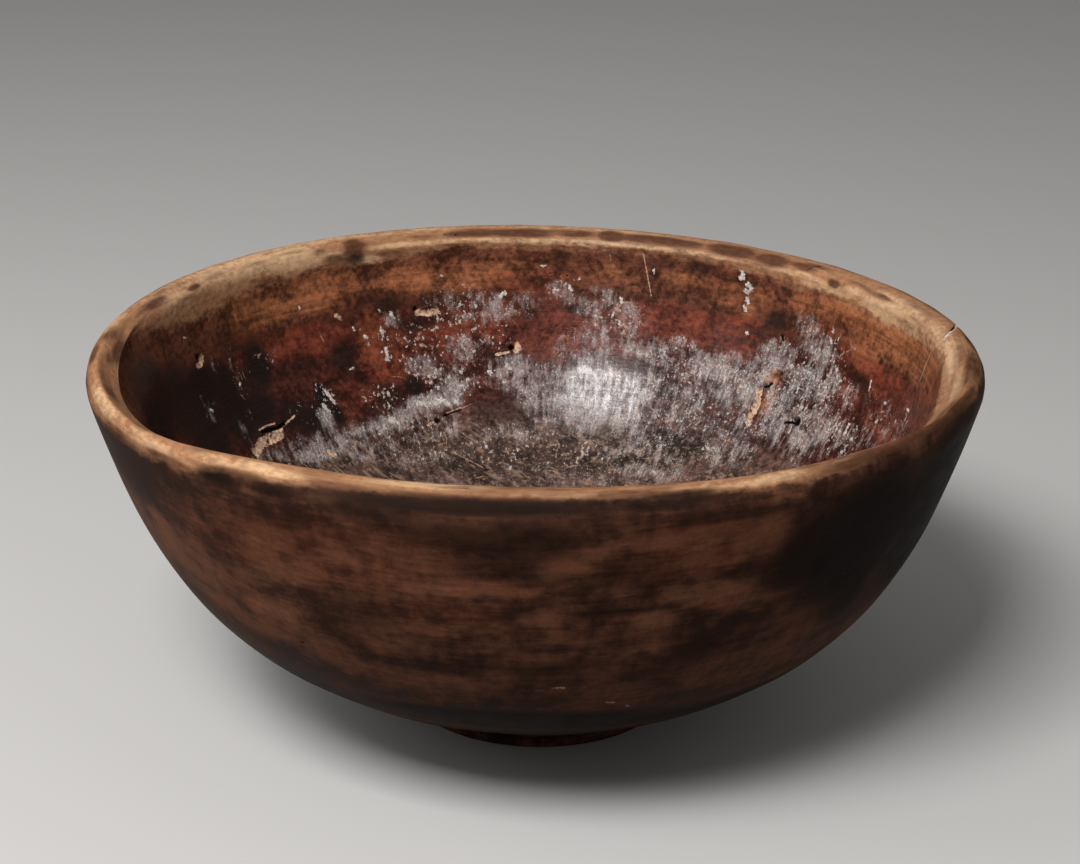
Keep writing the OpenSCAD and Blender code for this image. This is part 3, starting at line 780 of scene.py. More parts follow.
def wear_bowl(bowl, section, wear):
    """Moves every vertex to its worn place, and stores the zones that the material reads."""
    mesh = bowl.data
    points = read_points(mesh)
    depth = read_values(mesh, "depth")
    azimuth = np.arctan2(points[:, 1], points[:, 0])
    radius, height = section.at(depth)
    out_radius, out_height = section.outward(depth)
    lift = np.zeros(len(depth))

    # Broad hollows, stronger on the wall than on the rim, and none under the foot
    place = np.stack([radius * np.cos(azimuth), radius * np.sin(azimuth), height], -1)
    strength = wear.unevenness * smooth_step(np.abs(depth), *HOLLOW_LIMITS)
    strength = np.where(depth < FOOT_TOP, 0.0, strength)
    lift += strength * sum(share * ragged(place, size, seed) for size, seed, share in HOLLOW_LUMPS)
    rim = smooth_step(np.abs(depth), *RIM_BUMP_LIMITS)
    lift += rim * RIM_BUMP_HEIGHT * ragged(place, RIM_BUMP_SIZE, RIM_BUMP_SEED)

    # The rim's inner side is worn hollow down to a low ridge, at the back
    ridge = hump(depth, RIDGE)
    worn = ridge - HOLLOW_SHARE * hump(depth, RIDGE_HOLLOW)
    lift += wear.ridge * in_sector(azimuth, RIDGE_SECTOR) * worn

    # The wall is worn thin under the rim at the left
    thin = in_sector(azimuth, THIN_SECTOR) * smooth_step(depth, *THIN_BELOW_CREST)
    lift -= wear.thinned * thin * smooth_step(depth, *THIN_ABOVE_WALL)

    # The small marks
    painted = {kind: np.zeros(len(depth)) for kind in RAGGEDNESS}
    for number, (kind, width, relief, shows, path) in enumerate(all_marks()):
        away = distance_to_path(section, path, azimuth, depth)
        near = np.flatnonzero(away < (MARK_REACH[0] * width + MARK_REACH[1]) * MM)
        if not len(near):
            continue
        lump_size = max(EDGE_LUMPS[0] * width, EDGE_LUMPS[1]) * MM
        wobble = ragged(place[near], lump_size, EDGE_SEED + number)
        share = away[near] / (width * MM) + RAGGEDNESS[kind] * wobble
        painted[kind][near] = np.maximum(painted[kind][near], shows * smooth_step(share, *MARK_PAINT))
        if kind == "bare":
            roughness, size, seed = BARE_LUMPS
            lumps = 1 + roughness * ragged(place[near], size, seed + number)
            lift[near] -= relief * MM * smooth_step(share, *MARK_FLOOR) * lumps
        else:
            side = 1 if kind == "residue" else -1
            lift[near] += side * relief * MM * smooth_step(share, *MARK_HOLLOW)

    lift = np.where(depth < UNDER_FOOT, 0.0, lift)
    radius = radius + lift * out_radius
    height = height + lift * out_height
    height = slope_rim(section, wear, azimuth, depth, radius, height)

    # The whole bowl is slightly oval, its crest rises and falls, and the foot sits a little to one side
    share = np.clip(height / section.height, 0, 1)
    radius = radius * (1 + wear.oval * share * np.cos(2 * (azimuth - wear.oval_azimuth)))
    height = height + wear.saddle * share * np.cos(2 * (azimuth - wear.saddle_azimuth))
    moved = np.stack([radius * np.cos(azimuth), radius * np.sin(azimuth), height], -1)
    moved[:, 0] += wear.lean * (1 - share)
    mesh.vertices.foreach_set("co", moved.ravel())

    write_values(mesh, "rim", paint_rim(azimuth, depth))
    for name, patches in (
        ("warm", WARM_PATCHES),
        ("red", RED_PATCHES),
        ("dark", DARK_STAIN_AND_SHADE_PATCHES),
        ("film", FILM_AND_SHEEN_PATCHES),
        ("flecks", FLECK_PATCHES),
        ("rim_brown", RIM_BROWN_PATCHES),
        ("rim_pale_and_highlight", RIM_PALE_AND_HIGHLIGHT_PATCHES),
    ):
        write_values(mesh, name, paint_zone(patches, azimuth, depth))
    write_values(mesh, "ridge_shine", ridge * in_sector(azimuth, SHINE_SECTOR))
    write_values(mesh, "holes", np.maximum(painted["hole"], painted["slit"]))
    for name, kind in (("bare", "bare"), ("scratches", "scratch"), ("residue", "residue")):
        write_values(mesh, name, painted[kind])
    mesh.update()


# Materials


class Wiring:
    """Adds nodes to one node tree and joins them."""

    def __init__(self, tree):
        self.tree = tree

    def node(self, kind, inputs=None, **settings):
        """Adds a node, sets it, and fills or joins its inputs by name or number."""
        made = self.tree.nodes.new(kind)
        for name, value in settings.items():
            setattr(made, name, value)
        for name, value in (inputs or {}).items():
            if isinstance(value, bpy.types.NodeSocket):
                self.tree.links.new(value, made.inputs[name])
            else:
                made.inputs[name].default_value = value
        return made

    def maths(self, operation, first, second=0.0, third=0.0):
        """Result of a sum on numbers."""
        inputs = {0: first, 1: second, 2: third}
        return self.node("ShaderNodeMath", inputs, operation=operation).outputs[0]

    def vectors(self, operation, first, second=None):
        """Result of a sum on vectors. SCALE takes a number second, and LENGTH gives one."""
        inputs = {0: first}
        if second is not None:
            inputs["Scale" if operation == "SCALE" else 1] = second
        made = self.node("ShaderNodeVectorMath", inputs, operation=operation)
        return made.outputs["Value" if operation == "LENGTH" else "Vector"]

    def soften(self, value, low, high, to_low=0.0, to_high=1.0):
        """A smooth rise from one number to another as the value goes from low to high."""
        inputs = {0: value, 1: low, 2: high, 3: to_low, 4: to_high}
        made = self.node("ShaderNodeMapRange", inputs, interpolation_type="SMOOTHSTEP")
        return made.outputs[0]

    def blend(self, share, first, second):
        """A colour between two, by a share."""
        made = self.node("ShaderNodeMix", data_type="RGBA", blend_type="MIX")
        for socket, value in ((0, share), (6, first), (7, second)):
            if isinstance(value, bpy.types.NodeSocket):
                self.tree.links.new(value, made.inputs[socket])
            elif socket == 0:
                made.inputs[socket].default_value = value
            else:
                made.inputs[socket].default_value = (*value[:3], 1.0)
        return made.outputs[2]

    def group(self, tree, **inputs):
        """Places a node group and gives its output."""
        made = self.tree.nodes.new("ShaderNodeGroup")
        made.node_tree = tree
        for name, value in inputs.items():
            socket = made.inputs[name.replace("_", " ").capitalize()]
            if isinstance(value, bpy.types.NodeSocket):
                self.tree.links.new(value, socket)
            else:
                socket.default_value = value
        return made.outputs[0]


def new_group(name, inputs, output):
    """A node group with named inputs, one named output, and the wiring inside it."""
    tree = bpy.data.node_groups.new(name, "ShaderNodeTree")
    for label, kind, default in inputs:
        socket = tree.interface.new_socket(label, in_out="INPUT", socket_type=kind)
        if default is not None:
            socket.default_value = default
    tree.interface.new_socket(output, in_out="OUTPUT", socket_type="NodeSocketFloat")
    wires = Wiring(tree)
    given = wires.node("NodeGroupInput").outputs
    result = wires.node("NodeGroupOutput").inputs
    return tree, wires, given, result


NUMBER = "NodeSocketFloat"
VECTOR = "NodeSocketVector"
NOISE_ROUGHNESS = 0.6


def stretched_noise_group():
    """Noise with its own scale round the axis and along the section, cut to a soft mask."""
    tree, wires, given, result = new_group(
        "stretched_noise",
        (
            ("Place", VECTOR, None),
            ("Around", NUMBER, 40.0),
            ("Along", NUMBER, 40.0),
            ("Detail", NUMBER, 3.0),
            ("Low", NUMBER, 0.4),
            ("High", NUMBER, 0.6),
            ("Seed", NUMBER, 0.0),
        ),
        "Mask",
    )
    around = given["Around"]
    stretch = wires.node("ShaderNodeCombineXYZ", {0: around, 1: around, 2: given["Along"]})
    stretched = wires.vectors("MULTIPLY", given["Place"], stretch.outputs[0])
    shifted = wires.vectors("ADD", stretched, given["Seed"])
    pattern = wires.node(
        "ShaderNodeTexNoise",
        {"Vector": shifted, "Scale": 1.0, "Detail": given["Detail"], "Roughness": NOISE_ROUGHNESS},
    )
    mask = wires.soften(pattern.outputs["Fac"], given["Low"], given["High"])
    wires.tree.links.new(mask, result["Mask"])
    return tree


def ragged_zone_group():
    """A painted zone whose soft edge is broken up by noise."""
    tree, wires, given, result = new_group(
        "ragged_zone",
        (
            ("Zone", NUMBER, 0.0),
            ("Pattern", NUMBER, 0.5),
            ("Break", NUMBER, 0.8),
            ("Softness", NUMBER, 0.15),
        ),
        "Mask",
    )
    centred = wires.maths("SUBTRACT", given["Pattern"], 0.5)
    moved = wires.maths("MULTIPLY_ADD", centred, given["Break"], given["Zone"])
    low = wires.maths("SUBTRACT", 0.5, given["Softness"])
    high = wires.maths("ADD", 0.5, given["Softness"])
    wires.tree.links.new(wires.soften(moved, low, high), result["Mask"])
    return tree


# A point on the middle line of the log that the bowl was cut from, and how much its length is squeezed,
# so that the rings run along it
PITH = (0.0, -0.03, -0.13)
LOG_STRETCH = (0.12, 1.0, 1.0)
# Waves a metre in the rings, and the shares of a ring's width over which it darkens, then turns pale
RING_WAVES = 28.0
RING_DARKENS = (0.55, 1.0)
RING_TURNS_PALE = (0.0, 0.12)


def growth_rings_group():
    """Growth rings of a log that lies left to right, cut through by the bowl."""
    tree, wires, given, result = new_group(
        "growth_rings",
        (
            ("Position", VECTOR, None),
            ("Spacing", NUMBER, 0.004),
            ("Wobble", NUMBER, 0.004),
        ),
        "Mask",
    )
    from_pith = wires.vectors("SUBTRACT", given["Position"], PITH)
    flat = wires.vectors("MULTIPLY", from_pith, LOG_STRETCH)
    length = wires.vectors("LENGTH", flat)
    waves = wires.node("ShaderNodeTexNoise", {"Vector": flat, "Scale": RING_WAVES, "Detail": 3.0})
    moved = wires.maths("MULTIPLY_ADD", waves.outputs["Fac"], given["Wobble"], length)
    turns = wires.maths("DIVIDE", moved, given["Spacing"])
    saw = wires.maths("FRACT", turns)
    dark = wires.soften(saw, *RING_DARKENS)
    edge = wires.soften(saw, *RING_TURNS_PALE, 1.0, 0.0)
    wires.tree.links.new(wires.maths("MAXIMUM", dark, edge), result["Mask"])
    return tree


def make_groups():
    """The shared effects, each built once."""
    return {
        "noise": stretched_noise_group(),
        "zone": ragged_zone_group(),
        "rings": growth_rings_group(),
    }


# Radius that the round patterns are laid out at, so that one step is alike in both directions
PATTERN_RADIUS = 0.15
# The patterns lie flat on the floor, inside this radius and beyond this depth
FLOOR_RADIUS = 0.11
FLOOR_DEPTH = 0.152
# Depths down the section between which one finish gives way to the next
OUTSIDE_TO_INSIDE = (-0.006, 0.004)
DULL_TO_SHINY = (0.010, 0.018)
BROWN_TO_BURGUNDY = (0.044, 0.062)
BURGUNDY_TO_FLOOR = (0.098, 0.128)
NO_LINES_TO_LINES = (0.092, 0.12)
# Values between which a painted zone, and a painted mark, starts to show
ZONE_SHOWS = (0.03, 0.3)
MARK_SHOWS = (0.02, 0.2)
# How strongly each layer covers what is under it
COVER = {
    "russet": 0.5, "orange": 0.9, "rust": 0.85, "rings": 0.08, "mottles": 0.93,
    "stains_and_shade": 0.97, "film": 0.66, "pits": 0.52, "specks_and_glints": 0.68, "flecks": 0.85,
    "threads": 0.6, "lines": 0.3, "scratches": 0.85, "residue": 0.95,
}
# How far a pattern draws each layer's edge in and out, and how soft that edge is
EDGES = {
    "clouds": (1.1, 0.5), "russet": (0.5, 0.5), "orange": (0.8, 0.5), "rust": (0.8, 0.5),
    "rim": (0.7, 0.4), "pale rim and highlights": (0.7, 0.45), "mottles": (0.8, 0.35), "stains_and_shade": (0.5, 0.5),
    "film": (1.8, 0.46), "pits": (1.0, 0.16), "specks_and_glints": (1.0, 0.12), "flecks": (1.0, 0.07),
    "scratches": (0.5, 0.3), "bare": (0.9, 0.2), "residue": (1.1, 0.15), "holes": (0.3, 0.25),
}
# How each colour's shade follows a pattern: the pattern's limits, then the shades there
SHADES = {
    "russet": (0.1, 0.9, 0.4, 1.4), "inside": (0.25, 0.75, 0.4, 1.6), "orange": (0.2, 0.8, 0.4, 1.25),
    "rust": (0.2, 0.8, 0.45, 1.25), "rim": (0.0, 1.0, 0.8, 1.15), "rim's lines": (0.0, 1.0, 0.92, 1.06),
    "bare": (0.25, 0.75, 0.5, 1.25), "residue": (0.2, 0.8, 0.6, 1.2),
}
# How far the bands of colour inside wander up and down
BANDS_WANDER = 0.024
# Curved scratches: half width of a thread in its pattern, and where its gaps and its patches start
THREAD_WIDTH = 0.03
THREAD_GAPS = (0.4, 0.6)
THREAD_PATCHES = (0.3, 0.55)
# How much of the straight strokes shows as fine lines
LINE_LIMITS = (0.72, 0.95)
# Roughness of the two finishes at their smoothest and roughest, and of what lies on them
POLISH_INSIDE = (0.24, 0.4)
POLISH_OUTSIDE = (0.5, 0.62)
RIM_IS_ROUGHER_BY = 0.14
LOOSE_ROUGHNESS = 0.7
HOLE_ROUGHNESS = 0.95
COAT_ROUGHNESS = 0.16
SPECULAR_INSIDE = 0.14
SPECULAR_OUTSIDE = 0.02

# Patterns on the wood: lumps a metre round the axis and along the section, the noise's low and high
# limits, its detail and its seed
PATTERNS = {
    "broad": (26, 34, 0.28, 0.72, 3, 1),
    "middle": (80, 110, 0.28, 0.72, 4, 7),
    "fine": (330, 400, 0.25, 0.75, 3, 13),
    "grit": (1000, 800, 0.3, 0.7, 2, 19),
    "falls": (520, 50, 0.3, 0.7, 3, 23),
    "levels": (14, 900, 0.3, 0.7, 3, 29),
    "streaks": (11, 300, 0.28, 0.72, 3, 31),
    "rim": (60, 240, 0.28, 0.72, 4, 31),
    "scrapes": (430, 80, 0.3, 0.7, 4, 37),
    "cross scrapes": (430, 80, 0.3, 0.7, 4, 41),
    "crinkles": (240, 130, 0.32, 0.68, 4, 43),
    "pits": (820, 640, 0.3, 0.7, 3, 47),
    "specks_and_glints": (1150, 850, 0.3, 0.7, 3, 49),
    "chips": (560, 400, 0.3, 0.7, 3, 53),
    "threads": (52, 44, 0.2, 0.8, 1.5, 59),
    "lines": (430, 80, 0.3, 0.7, 4, 61),
    "cross lines": (430, 80, 0.3, 0.7, 4, 67),
    "grain": (70, 620, 0.3, 0.7, 4, 71),
}
# Slant of each straight pattern, as turns about x and y in radians
SLANTS = {
    "scrapes": (0.0, 0.5),
    "cross scrapes": (0.3, -0.55),
    "lines": (0.15, 0.9),
    "cross lines": (-0.4, -0.35),
}


def wood_material(name, colours, groups, specular):
    """The old wood: a dark stained bowl with a pale worn rim, flour film, flecks and bare places."""
    material = bpy.data.materials.new(name)
    material.use_nodes = True
    tree = material.node_tree
    tree.nodes.clear()
    wires = Wiring(tree)

    def zone(attribute):
        """A value that the mesh stores."""
        return wires.node("ShaderNodeAttribute", attribute_name=attribute).outputs["Fac"]

    def pattern(name, place=None):
        """One of the named patterns, laid on the wood or at a place of its own."""
        around, along, low, high, detail, seed = PATTERNS[name]
        return wires.group(
            groups["noise"],
            place=place or turned,
            around=around,
            along=along,
            detail=detail,
            low=low,
            high=high,
            seed=seed,
        )

    def slanted(name):
        """A pattern of straight strokes that cross the bowl at a slant."""
        rotation = (*SLANTS[name], 0.0)
        leaned = wires.node(
            "ShaderNodeVectorRotate",
            {"Vector": position, "Rotation": rotation},
            rotation_type="EULER_XYZ",
        )
        return pattern(name, leaned.outputs[0])

    def ragged_zone(attribute, noise_socket, layer):
        """A stored or given zone with its edge broken up by a pattern, as one of the named layers is."""
        strength, softness = EDGES[layer]
        return wires.group(
            groups["zone"],
            zone=zone(attribute) if isinstance(attribute, str) else attribute,
            pattern=noise_socket,
            **{"break": strength},
            softness=softness,
        )

    def mark(kind, noise_socket):
        """One kind of small marks, with a broken edge that keeps to its own place."""
        raw = zone(kind)
        return scaled(ragged_zone(raw, noise_socket, kind), wires.soften(raw, *MARK_SHOWS))

    def scaled(share, value):
        """A mask or a number times another."""
        return wires.maths("MULTIPLY", share, value)

    def weighed(*parts):
        """The sum of masks or numbers, each times its weight."""
        total = 0.0
        for source, weight in parts:
            total = wires.maths("MULTIPLY_ADD", source, weight, total)
        return total

    def laid_over(base, mask, layer, colour):
        """A colour with one of the named layers laid over it, where its mask shows it."""
        return wires.blend(scaled(mask, COVER[layer]), base, colour)

    def toned(colour, shading, layer):
        """A colour made darker and lighter by a pattern, as one of the named shades is."""
        return wires.vectors("SCALE", colour, wires.soften(shading, *SHADES[layer]))

    # Place on the wood: the direction round the axis at one radius, and the depth along the section
    position = wires.node("ShaderNodeTexCoord").outputs["Object"]
    level = wires.vectors("MULTIPLY", position, (1, 1, 0))
    direction = wires.vectors("NORMALIZE", level)
    floor_share = wires.maths("DIVIDE", wires.vectors("LENGTH", level), FLOOR_RADIUS)
    on_floor = wires.maths("MINIMUM", floor_share, 1.0)
    on_radius = wires.vectors("SCALE", direction, scaled(on_floor, PATTERN_RADIUS))
    depth = zone("depth")
    run = wires.node("ShaderNodeCombineXYZ", {2: wires.maths("MINIMUM", depth, FLOOR_DEPTH)})
    turned = wires.vectors("ADD", on_radius, run.outputs[0])
    inside = wires.soften(depth, *OUTSIDE_TO_INSIDE)

    # Patterns that the layers share, from broad to fine, then scraped down and turned round
    broad, middle, fine = pattern("broad"), pattern("middle"), pattern("fine")
    grit, falls, levels = pattern("grit"), pattern("falls"), pattern("levels")
    streaks, crinkles = pattern("streaks"), pattern("crinkles")
    rings = wires.group(groups["rings"], position=position)
    scrapes = scaled(wires.maths("ADD", slanted("scrapes"), slanted("cross scrapes")), 0.5)

    # Outside: mid-brown wood, smooth and cloudy, with soft lighter, darker and russet patches
    grain = pattern("grain")
    drift = weighed((broad, 0.3), (middle, 0.34), (streaks, 0.06), (grain, 0.12), (crinkles, 0.18))
    outer_level = weighed((zone("warm"), 0.7), (1.0, 0.26))
    outer_light = ragged_zone(outer_level, drift, "clouds")
    outer = wires.blend(outer_light, colours.outer_dark, colours.outer_brown)
    outer_red = ragged_zone("red", drift, "russet")
    russet = toned(colours.outer_red, drift, "russet")
    outer = laid_over(outer, outer_red, "russet", russet)

    # Inside: a brown band over a burgundy one and a dull floor, with orange and rust worn through
    smears = weighed((broad, 0.16), (middle, 0.32), (fine, 0.22), (scrapes, 0.3))
    wandering = wires.maths("MULTIPLY_ADD", smears, BANDS_WANDER, depth)
    redder = wires.soften(wandering, *BROWN_TO_BURGUNDY)
    inner = wires.blend(redder, colours.inner_brown, colours.burgundy)
    inner = wires.blend(wires.soften(wandering, *BURGUNDY_TO_FLOOR), inner, colours.floor_brown)
    inner = toned(inner, smears, "inside")
    orange_mask = ragged_zone("warm", smears, "orange")
    orange = toned(colours.orange_tan, weighed((smears, 0.6), (streaks, 0.4)), "orange")
    inner = laid_over(inner, orange_mask, "orange", orange)
    rust_mask = ragged_zone("red", smears, "rust")
    rust = toned(colours.rust, smears, "rust")
    inner = laid_over(inner, rust_mask, "rust", rust)
    wood = wires.blend(inside, outer, inner)

    # Growth rings and small uneven tone all over
    wood = laid_over(wood, rings, "rings", colours.soot_and_shade)
    fine_tone = wires.maths("MULTIPLY_ADD", inside, 0.2, 0.3)
    fine_wander = wires.maths("SUBTRACT", weighed((fine, 0.6), (grit, 0.4)), 0.5)
    uneven = wires.maths("MULTIPLY_ADD", fine_wander, fine_tone, 1.0)
    wood = wires.vectors("SCALE", wood, uneven)

    # The pale worn rim: tan wood, worn paler in places, with brown mottles, and painted highlights on the
    # front crest and along the ridge at the back
    rim_pattern = pattern("rim")
    rim_clouds = weighed((rim_pattern, 0.45), (middle, 0.3), (fine, 0.25))
    rim_mask = ragged_zone("rim", rim_clouds, "rim")
    rim_pale_and_highlight = weighed((zone("rim_pale_and_highlight"), 0.9), (rim_pattern, 0.1))
    rim_pale_and_highlight = ragged_zone(rim_pale_and_highlight, rim_clouds, "pale rim and highlights")
    rim = wires.blend(rim_pale_and_highlight, colours.rim_tan, colours.rim_pale_and_highlight)
    mottles = wires.maths("MULTIPLY_ADD", zone("rim_brown"), 0.8, 0.12)
    mottle_mask = ragged_zone(mottles, rim_clouds, "mottles")
    rim = laid_over(rim, mottle_mask, "mottles", colours.rim_brown)
    rim = toned(rim, fine, "rim")
    rim = toned(rim, levels, "rim's lines")
    wood = wires.blend(rim_mask, wood, rim)

    # Black stains, and painted shade on the inside's left wall, the outside's right and the underside
    stain_and_shade_mask = ragged_zone("dark", wires.blend(inside, drift, smears), "stains_and_shade")
    wood = laid_over(wood, stain_and_shade_mask, "stains_and_shade", colours.soot_and_shade)

    # Film of old flour and painted sheen: a thin crinkled haze, wiped downwards, with pale specks and dark
    # pits in it. The pale specks are partly dough and partly painted glints.
    film = zone("film")
    filmed = wires.soften(film, *ZONE_SHOWS)
    film_pattern = weighed((crinkles, 0.3), (falls, 0.22), (scrapes, 0.22), (middle, 0.26))
    film_level = weighed((film, 0.62), (broad, 0.3), (1.0, -0.12))
    film_and_sheen_mask = scaled(ragged_zone(film_level, film_pattern, "film"), filmed)
    wood = laid_over(wood, film_and_sheen_mask, "film", colours.film)
    film_level = weighed((film, 0.2), (crinkles, 0.21), (middle, 0.27), (falls, 0.11), (1.0, -0.28))
    pits = scaled(ragged_zone(film_level, pattern("pits"), "pits"), filmed)
    wood = laid_over(wood, pits, "pits", colours.soot_and_shade)
    specks_and_glints = scaled(ragged_zone(film_level, pattern("specks_and_glints"), "specks_and_glints"), filmed)
    wood = laid_over(wood, specks_and_glints, "specks_and_glints", colours.residue)

    # Flecks of dried dough, fine curved scratches and the small painted marks
    fleck_zone = zone("flecks")
    flecked = wires.soften(fleck_zone, *ZONE_SHOWS)
    chips = pattern("chips")
    fleck_level = weighed((fleck_zone, 0.26), (middle, 0.2), (1.0, -0.16))
    flecks = scaled(ragged_zone(fleck_level, chips, "flecks"), flecked)
    wood = laid_over(wood, flecks, "flecks", colours.residue)
    contour = wires.maths("ABSOLUTE", wires.maths("SUBTRACT", pattern("threads"), 0.5))
    threads = wires.soften(contour, 0.0, THREAD_WIDTH, 1.0, 0.0)
    threads = scaled(threads, wires.soften(chips, *THREAD_GAPS))
    threads = scaled(threads, scaled(flecked, wires.soften(middle, *THREAD_PATCHES)))
    wood = laid_over(wood, threads, "threads", colours.bare)
    lines = wires.maths("MAXIMUM", slanted("lines"), slanted("cross lines"))
    lines = scaled(wires.soften(lines, *LINE_LIMITS), wires.soften(depth, *NO_LINES_TO_LINES))
    wood = laid_over(wood, lines, "lines", colours.bare)
    crumbs = weighed((fine, 0.45), (grit, 0.55))
    scratch_mask = mark("scratches", crumbs)
    wood = laid_over(wood, scratch_mask, "scratches", colours.bare)
    bare_mask = mark("bare", weighed((crumbs, 0.5), (crinkles, 0.5)))
    bare = wires.blend(wires.soften(crinkles, -0.6, 0.4), colours.orange_tan, colours.bare)
    bare = toned(bare, crumbs, "bare")
    wood = wires.blend(bare_mask, wood, bare)
    residue_mask = mark("residue", crumbs)
    residue = toned(colours.residue, crumbs, "residue")
    wood = laid_over(wood, residue_mask, "residue", residue)
    hole_mask = mark("holes", crumbs)
    wood = wires.blend(hole_mask, wood, colours.hole)

    # Gloss: greasy inside, satin outside and matt where something is loose
    polish = wires.soften(smears, 0.2, 0.8, *POLISH_INSIDE)
    outside_polish = wires.soften(drift, 0.2, 0.8, *POLISH_OUTSIDE)
    mixed = {0: inside, 2: outside_polish, 3: polish}
    rough = wires.node("ShaderNodeMix", mixed, data_type="FLOAT").outputs[0]
    rough = wires.maths("MULTIPLY_ADD", rim_mask, RIM_IS_ROUGHER_BY, rough)
    loose = wires.maths("MAXIMUM", flecks, wires.maths("MAXIMUM", bare_mask, residue_mask))
    rough = wires.maths("MAXIMUM", rough, scaled(loose, LOOSE_ROUGHNESS))
    rough = wires.maths("MAXIMUM", rough, scaled(hole_mask, HOLE_ROUGHNESS))
    shine_depth = wires.soften(depth, *DULL_TO_SHINY)
    shine_depth = wires.maths("MAXIMUM", shine_depth, zone("ridge_shine"))
    shine = weighed((levels, 0.24), (smears, 0.1), (film_and_sheen_mask, 0.5))
    shine = scaled(shine, wires.maths("SUBTRACT", 1.0, wires.maths("MAXIMUM", loose, hole_mask)))
    coat = scaled(shine_depth, shine)

    # Relief: turning lines, scraping, grain and loose matter
    heights = (
        (scaled(levels, inside), 0.025 * MM),
        (scaled(scrapes, inside), 0.06 * MM),
        (scaled(fine, inside), 0.07 * MM),
        (grit, 0.012 * MM),
        (rings, -0.01 * MM),
        (scaled(crinkles, film_and_sheen_mask), 0.18 * MM),
        (specks_and_glints, 0.07 * MM),
        (flecks, 0.15 * MM),
        (pits, -0.05 * MM),
    )
    bump = wires.node("ShaderNodeBump", {"Height": weighed(*heights), "Strength": 1.0, "Distance": 1.0})

    shader = wires.node(
        "ShaderNodeBsdfPrincipled",
        {"Base Color": wood, "Roughness": rough, "Coat Weight": coat, "Normal": bump.outputs[0]},
    )
    shader.inputs["Specular IOR Level"].default_value = specular
    shader.inputs["Coat Roughness"].default_value = COAT_ROUGHNESS
    output = wires.node("ShaderNodeOutputMaterial")
    tree.links.new(shader.outputs[0], output.inputs["Surface"])
    return material


# Depth just inside the crest, above which the outside is satin
SATIN_TO = 1.5


def give_materials(bowl, colours):
    """Gives the outside of the wall its satin finish, and the rest the glossier one."""
    groups = make_groups()
    bowl.data.materials.clear()
    for name, specular in (("worn_wood_inside", SPECULAR_INSIDE), ("worn_wood_outside", SPECULAR_OUTSIDE)):
        bowl.data.materials.append(wood_material(name, colours, groups, specular))
    depths = read_values(bowl.data, "depth")
    for polygon in bowl.data.polygons:
        depth = sum(depths[v] for v in polygon.vertices) / len(polygon.vertices)
        polygon.material_index = 1 if depth < SATIN_TO * MM else 0


class DOUGHBOWL_OT_bowl(bpy.types.Operator):
    """Turn the bowl from its section, wear it, and give it its wood"""

    bl_idname = "dough_bowl.bowl"
    bl_label = "Make the bowl"
    bl_options = {"REGISTER", "UNDO"}

    def execute(self, context):
        scene = context.scene
        section = Section(scene.dough_bowl_sizes)
        bowl = turn_blank(section, scene.dough_bowl_sizes.sides)
        cut_finer(bowl, section)
        wear_bowl(bowl, section, scene.dough_bowl_wear)
        bowl.select_set(True)
        context.view_layer.objects.active = bowl
        bpy.ops.object.shade_smooth()
        give_materials(bowl, scene.dough_bowl_colours)
        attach(bowl, "root")
        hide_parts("bowl")
        return {"FINISHED"}


# The stage


def floor_material(shown, bounced):
    """A matt floor that looks pale, and throws back a little less light than it shows."""
    material = bpy.data.materials.new("floor_paint")
    material.use_nodes = True
    wires = Wiring(material.node_tree)
    path = wires.node("ShaderNodeLightPath").outputs
    seen = wires.maths("ADD", path["Is Camera Ray"], path["Is Glossy Ray"])
    seen = wires.maths("ADD", seen, path["Is Transmission Ray"])
    shader = material.node_tree.nodes["Principled BSDF"]
    material.node_tree.links.new(wires.blend(seen, bounced, shown), shader.inputs["Base Color"])
    shader.inputs["Roughness"].default_value = FLOOR_ROUGHNESS
    shader.inputs["Specular IOR Level"].default_value = 0.0
    return material


# Lights: azimuth and elevation in degrees, distance from what they point at, width and height
KEY_LIGHT = (-115.0, 49.0, 2.0, 0.8, 0.6)
FILL_LIGHT = (-165.0, 35.0, 2.2, 1.2, 1.2)
LIGHTS_POINT_AT = (0, 0, 0.1)
# The camera's place, how far below level it looks and how far it is rolled, in degrees
CAMERA_PLACE = Vector((1.2, -943.7, 468.8)) * MM
CAMERA_DOWN = 19.83
CAMERA_ROLL = 1.06
SENSOR_WIDTH = 36.0
NEAREST_SEEN = 0.01
SKY_COLOUR = (1.0, 0.98, 0.96, 1.0)
# The floor lies a hair under the foot, so that their faces don't meet
FLOOR_GAP = 0.3 * MM
FLOOR_SIDES = 96
FLOOR_ROUGHNESS = 0.9


def area_light(name, place, power):
    """An area light that points at the bowl from a place in the lists above."""
    azimuth, elevation, distance, width, height = place
    turn = math.radians(azimuth)
    rise = math.radians(elevation)
    away = Vector((math.cos(turn) * math.cos(rise), math.sin(turn) * math.cos(rise), math.sin(rise)))
    data = bpy.data.lights.new(name, "AREA")
    data.shape = "RECTANGLE"
    data.size = width
    data.size_y = height
    data.energy = power
    lamp = bpy.data.objects.new(name, data)
    lamp.location = Vector(LIGHTS_POINT_AT) + away * distance
    lamp.rotation_euler = away.to_track_quat("Z", "Y").to_euler()
    bpy.context.scene.collection.objects.link(lamp)


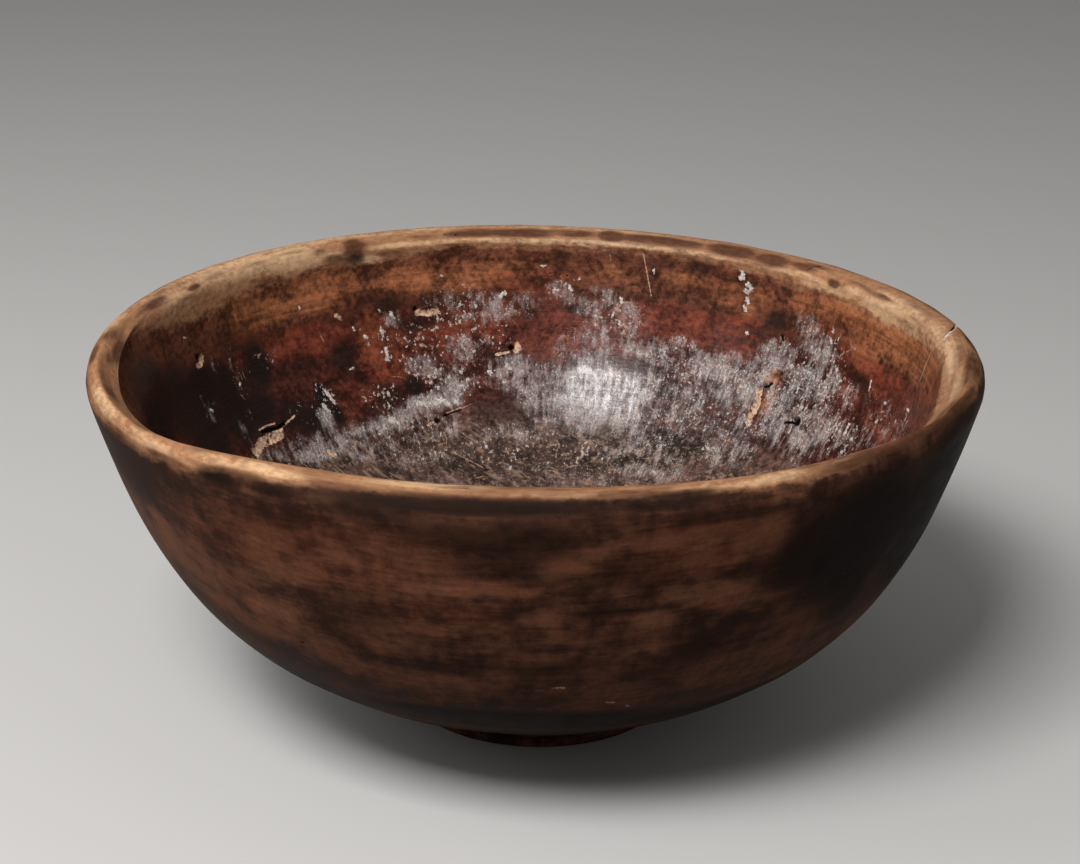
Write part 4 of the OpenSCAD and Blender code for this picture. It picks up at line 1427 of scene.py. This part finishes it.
class DOUGHBOWL_OT_stage(bpy.types.Operator):
    """Set up the pale floor, the soft light and the camera"""

    bl_idname = "dough_bowl.stage"
    bl_label = "Make the stage"
    bl_options = {"REGISTER", "UNDO"}

    def execute(self, context):
        scene = context.scene
        stage = scene.dough_bowl_stage
        deselect_everything()
        bpy.ops.mesh.primitive_circle_add(
            vertices=FLOOR_SIDES,
            radius=stage.floor_radius,
            fill_type="NGON",
            location=(0, 0, -FLOOR_GAP),
        )
        floor = context.object
        floor.name = "floor"
        floor.data.materials.append(floor_material(stage.floor_colour, stage.floor_bounce))

        area_light("key_light", KEY_LIGHT, stage.key_power)
        area_light("fill_light", FILL_LIGHT, stage.fill_power)

        world = bpy.data.worlds.new("pale_room")
        scene.world = world
        world.use_nodes = True
        background = world.node_tree.nodes["Background"]
        background.inputs["Color"].default_value = SKY_COLOUR
        background.inputs["Strength"].default_value = stage.sky_strength

        data = bpy.data.cameras.new("camera")
        data.lens = stage.lens
        data.sensor_width = SENSOR_WIDTH
        data.clip_start = NEAREST_SEEN
        camera = bpy.data.objects.new("camera", data)
        camera.location = CAMERA_PLACE
        tilt = Matrix.Rotation(math.radians(90 - CAMERA_DOWN), 4, "X")
        roll = Matrix.Rotation(math.radians(CAMERA_ROLL), 4, "Z")
        camera.rotation_euler = (tilt @ roll).to_euler()
        scene.collection.objects.link(camera)
        scene.camera = camera
        scene.view_settings.view_transform = "Standard"
        return {"FINISHED"}


class DOUGHBOWL_PT_panel(bpy.types.Panel):
    """Buttons and values for the bowl, in the 3D view's sidebar"""

    bl_idname = "DOUGHBOWL_PT_panel"
    bl_label = "Dough bowl"
    bl_space_type = "VIEW_3D"
    bl_region_type = "UI"
    bl_category = "Dough bowl"

    def draw(self, context):
        layout = self.layout
        layout.operator(DOUGHBOWL_OT_bowl.bl_idname)
        layout.operator(DOUGHBOWL_OT_stage.bl_idname)
        for group_name in VALUES:
            values = getattr(context.scene, group_name)
            box = layout.box()
            for name in values.__annotations__:
                box.prop(values, name)


# The scene's groups of values, by name
VALUES = {
    "dough_bowl_sizes": DoughBowlSizes,
    "dough_bowl_wear": DoughBowlWear,
    "dough_bowl_colours": DoughBowlColours,
    "dough_bowl_stage": DoughBowlStage,
}
CLASSES = (*VALUES.values(), DOUGHBOWL_OT_bowl, DOUGHBOWL_OT_stage, DOUGHBOWL_PT_panel)


def register():
    """Makes the classes and the scene's values known to Blender."""
    for each in CLASSES:
        bpy.utils.register_class(each)
    for name, group in VALUES.items():
        setattr(bpy.types.Scene, name, PointerProperty(type=group))


def unregister():
    """Takes the scene's values and the classes away again."""
    for name in VALUES:
        delattr(bpy.types.Scene, name)
    for each in reversed(CLASSES):
        bpy.utils.unregister_class(each)


def main():
    """Makes the bowl and the stage."""
    register()
    bpy.ops.dough_bowl.bowl()
    bpy.ops.dough_bowl.stage()


if __name__ == "__main__":
    main()
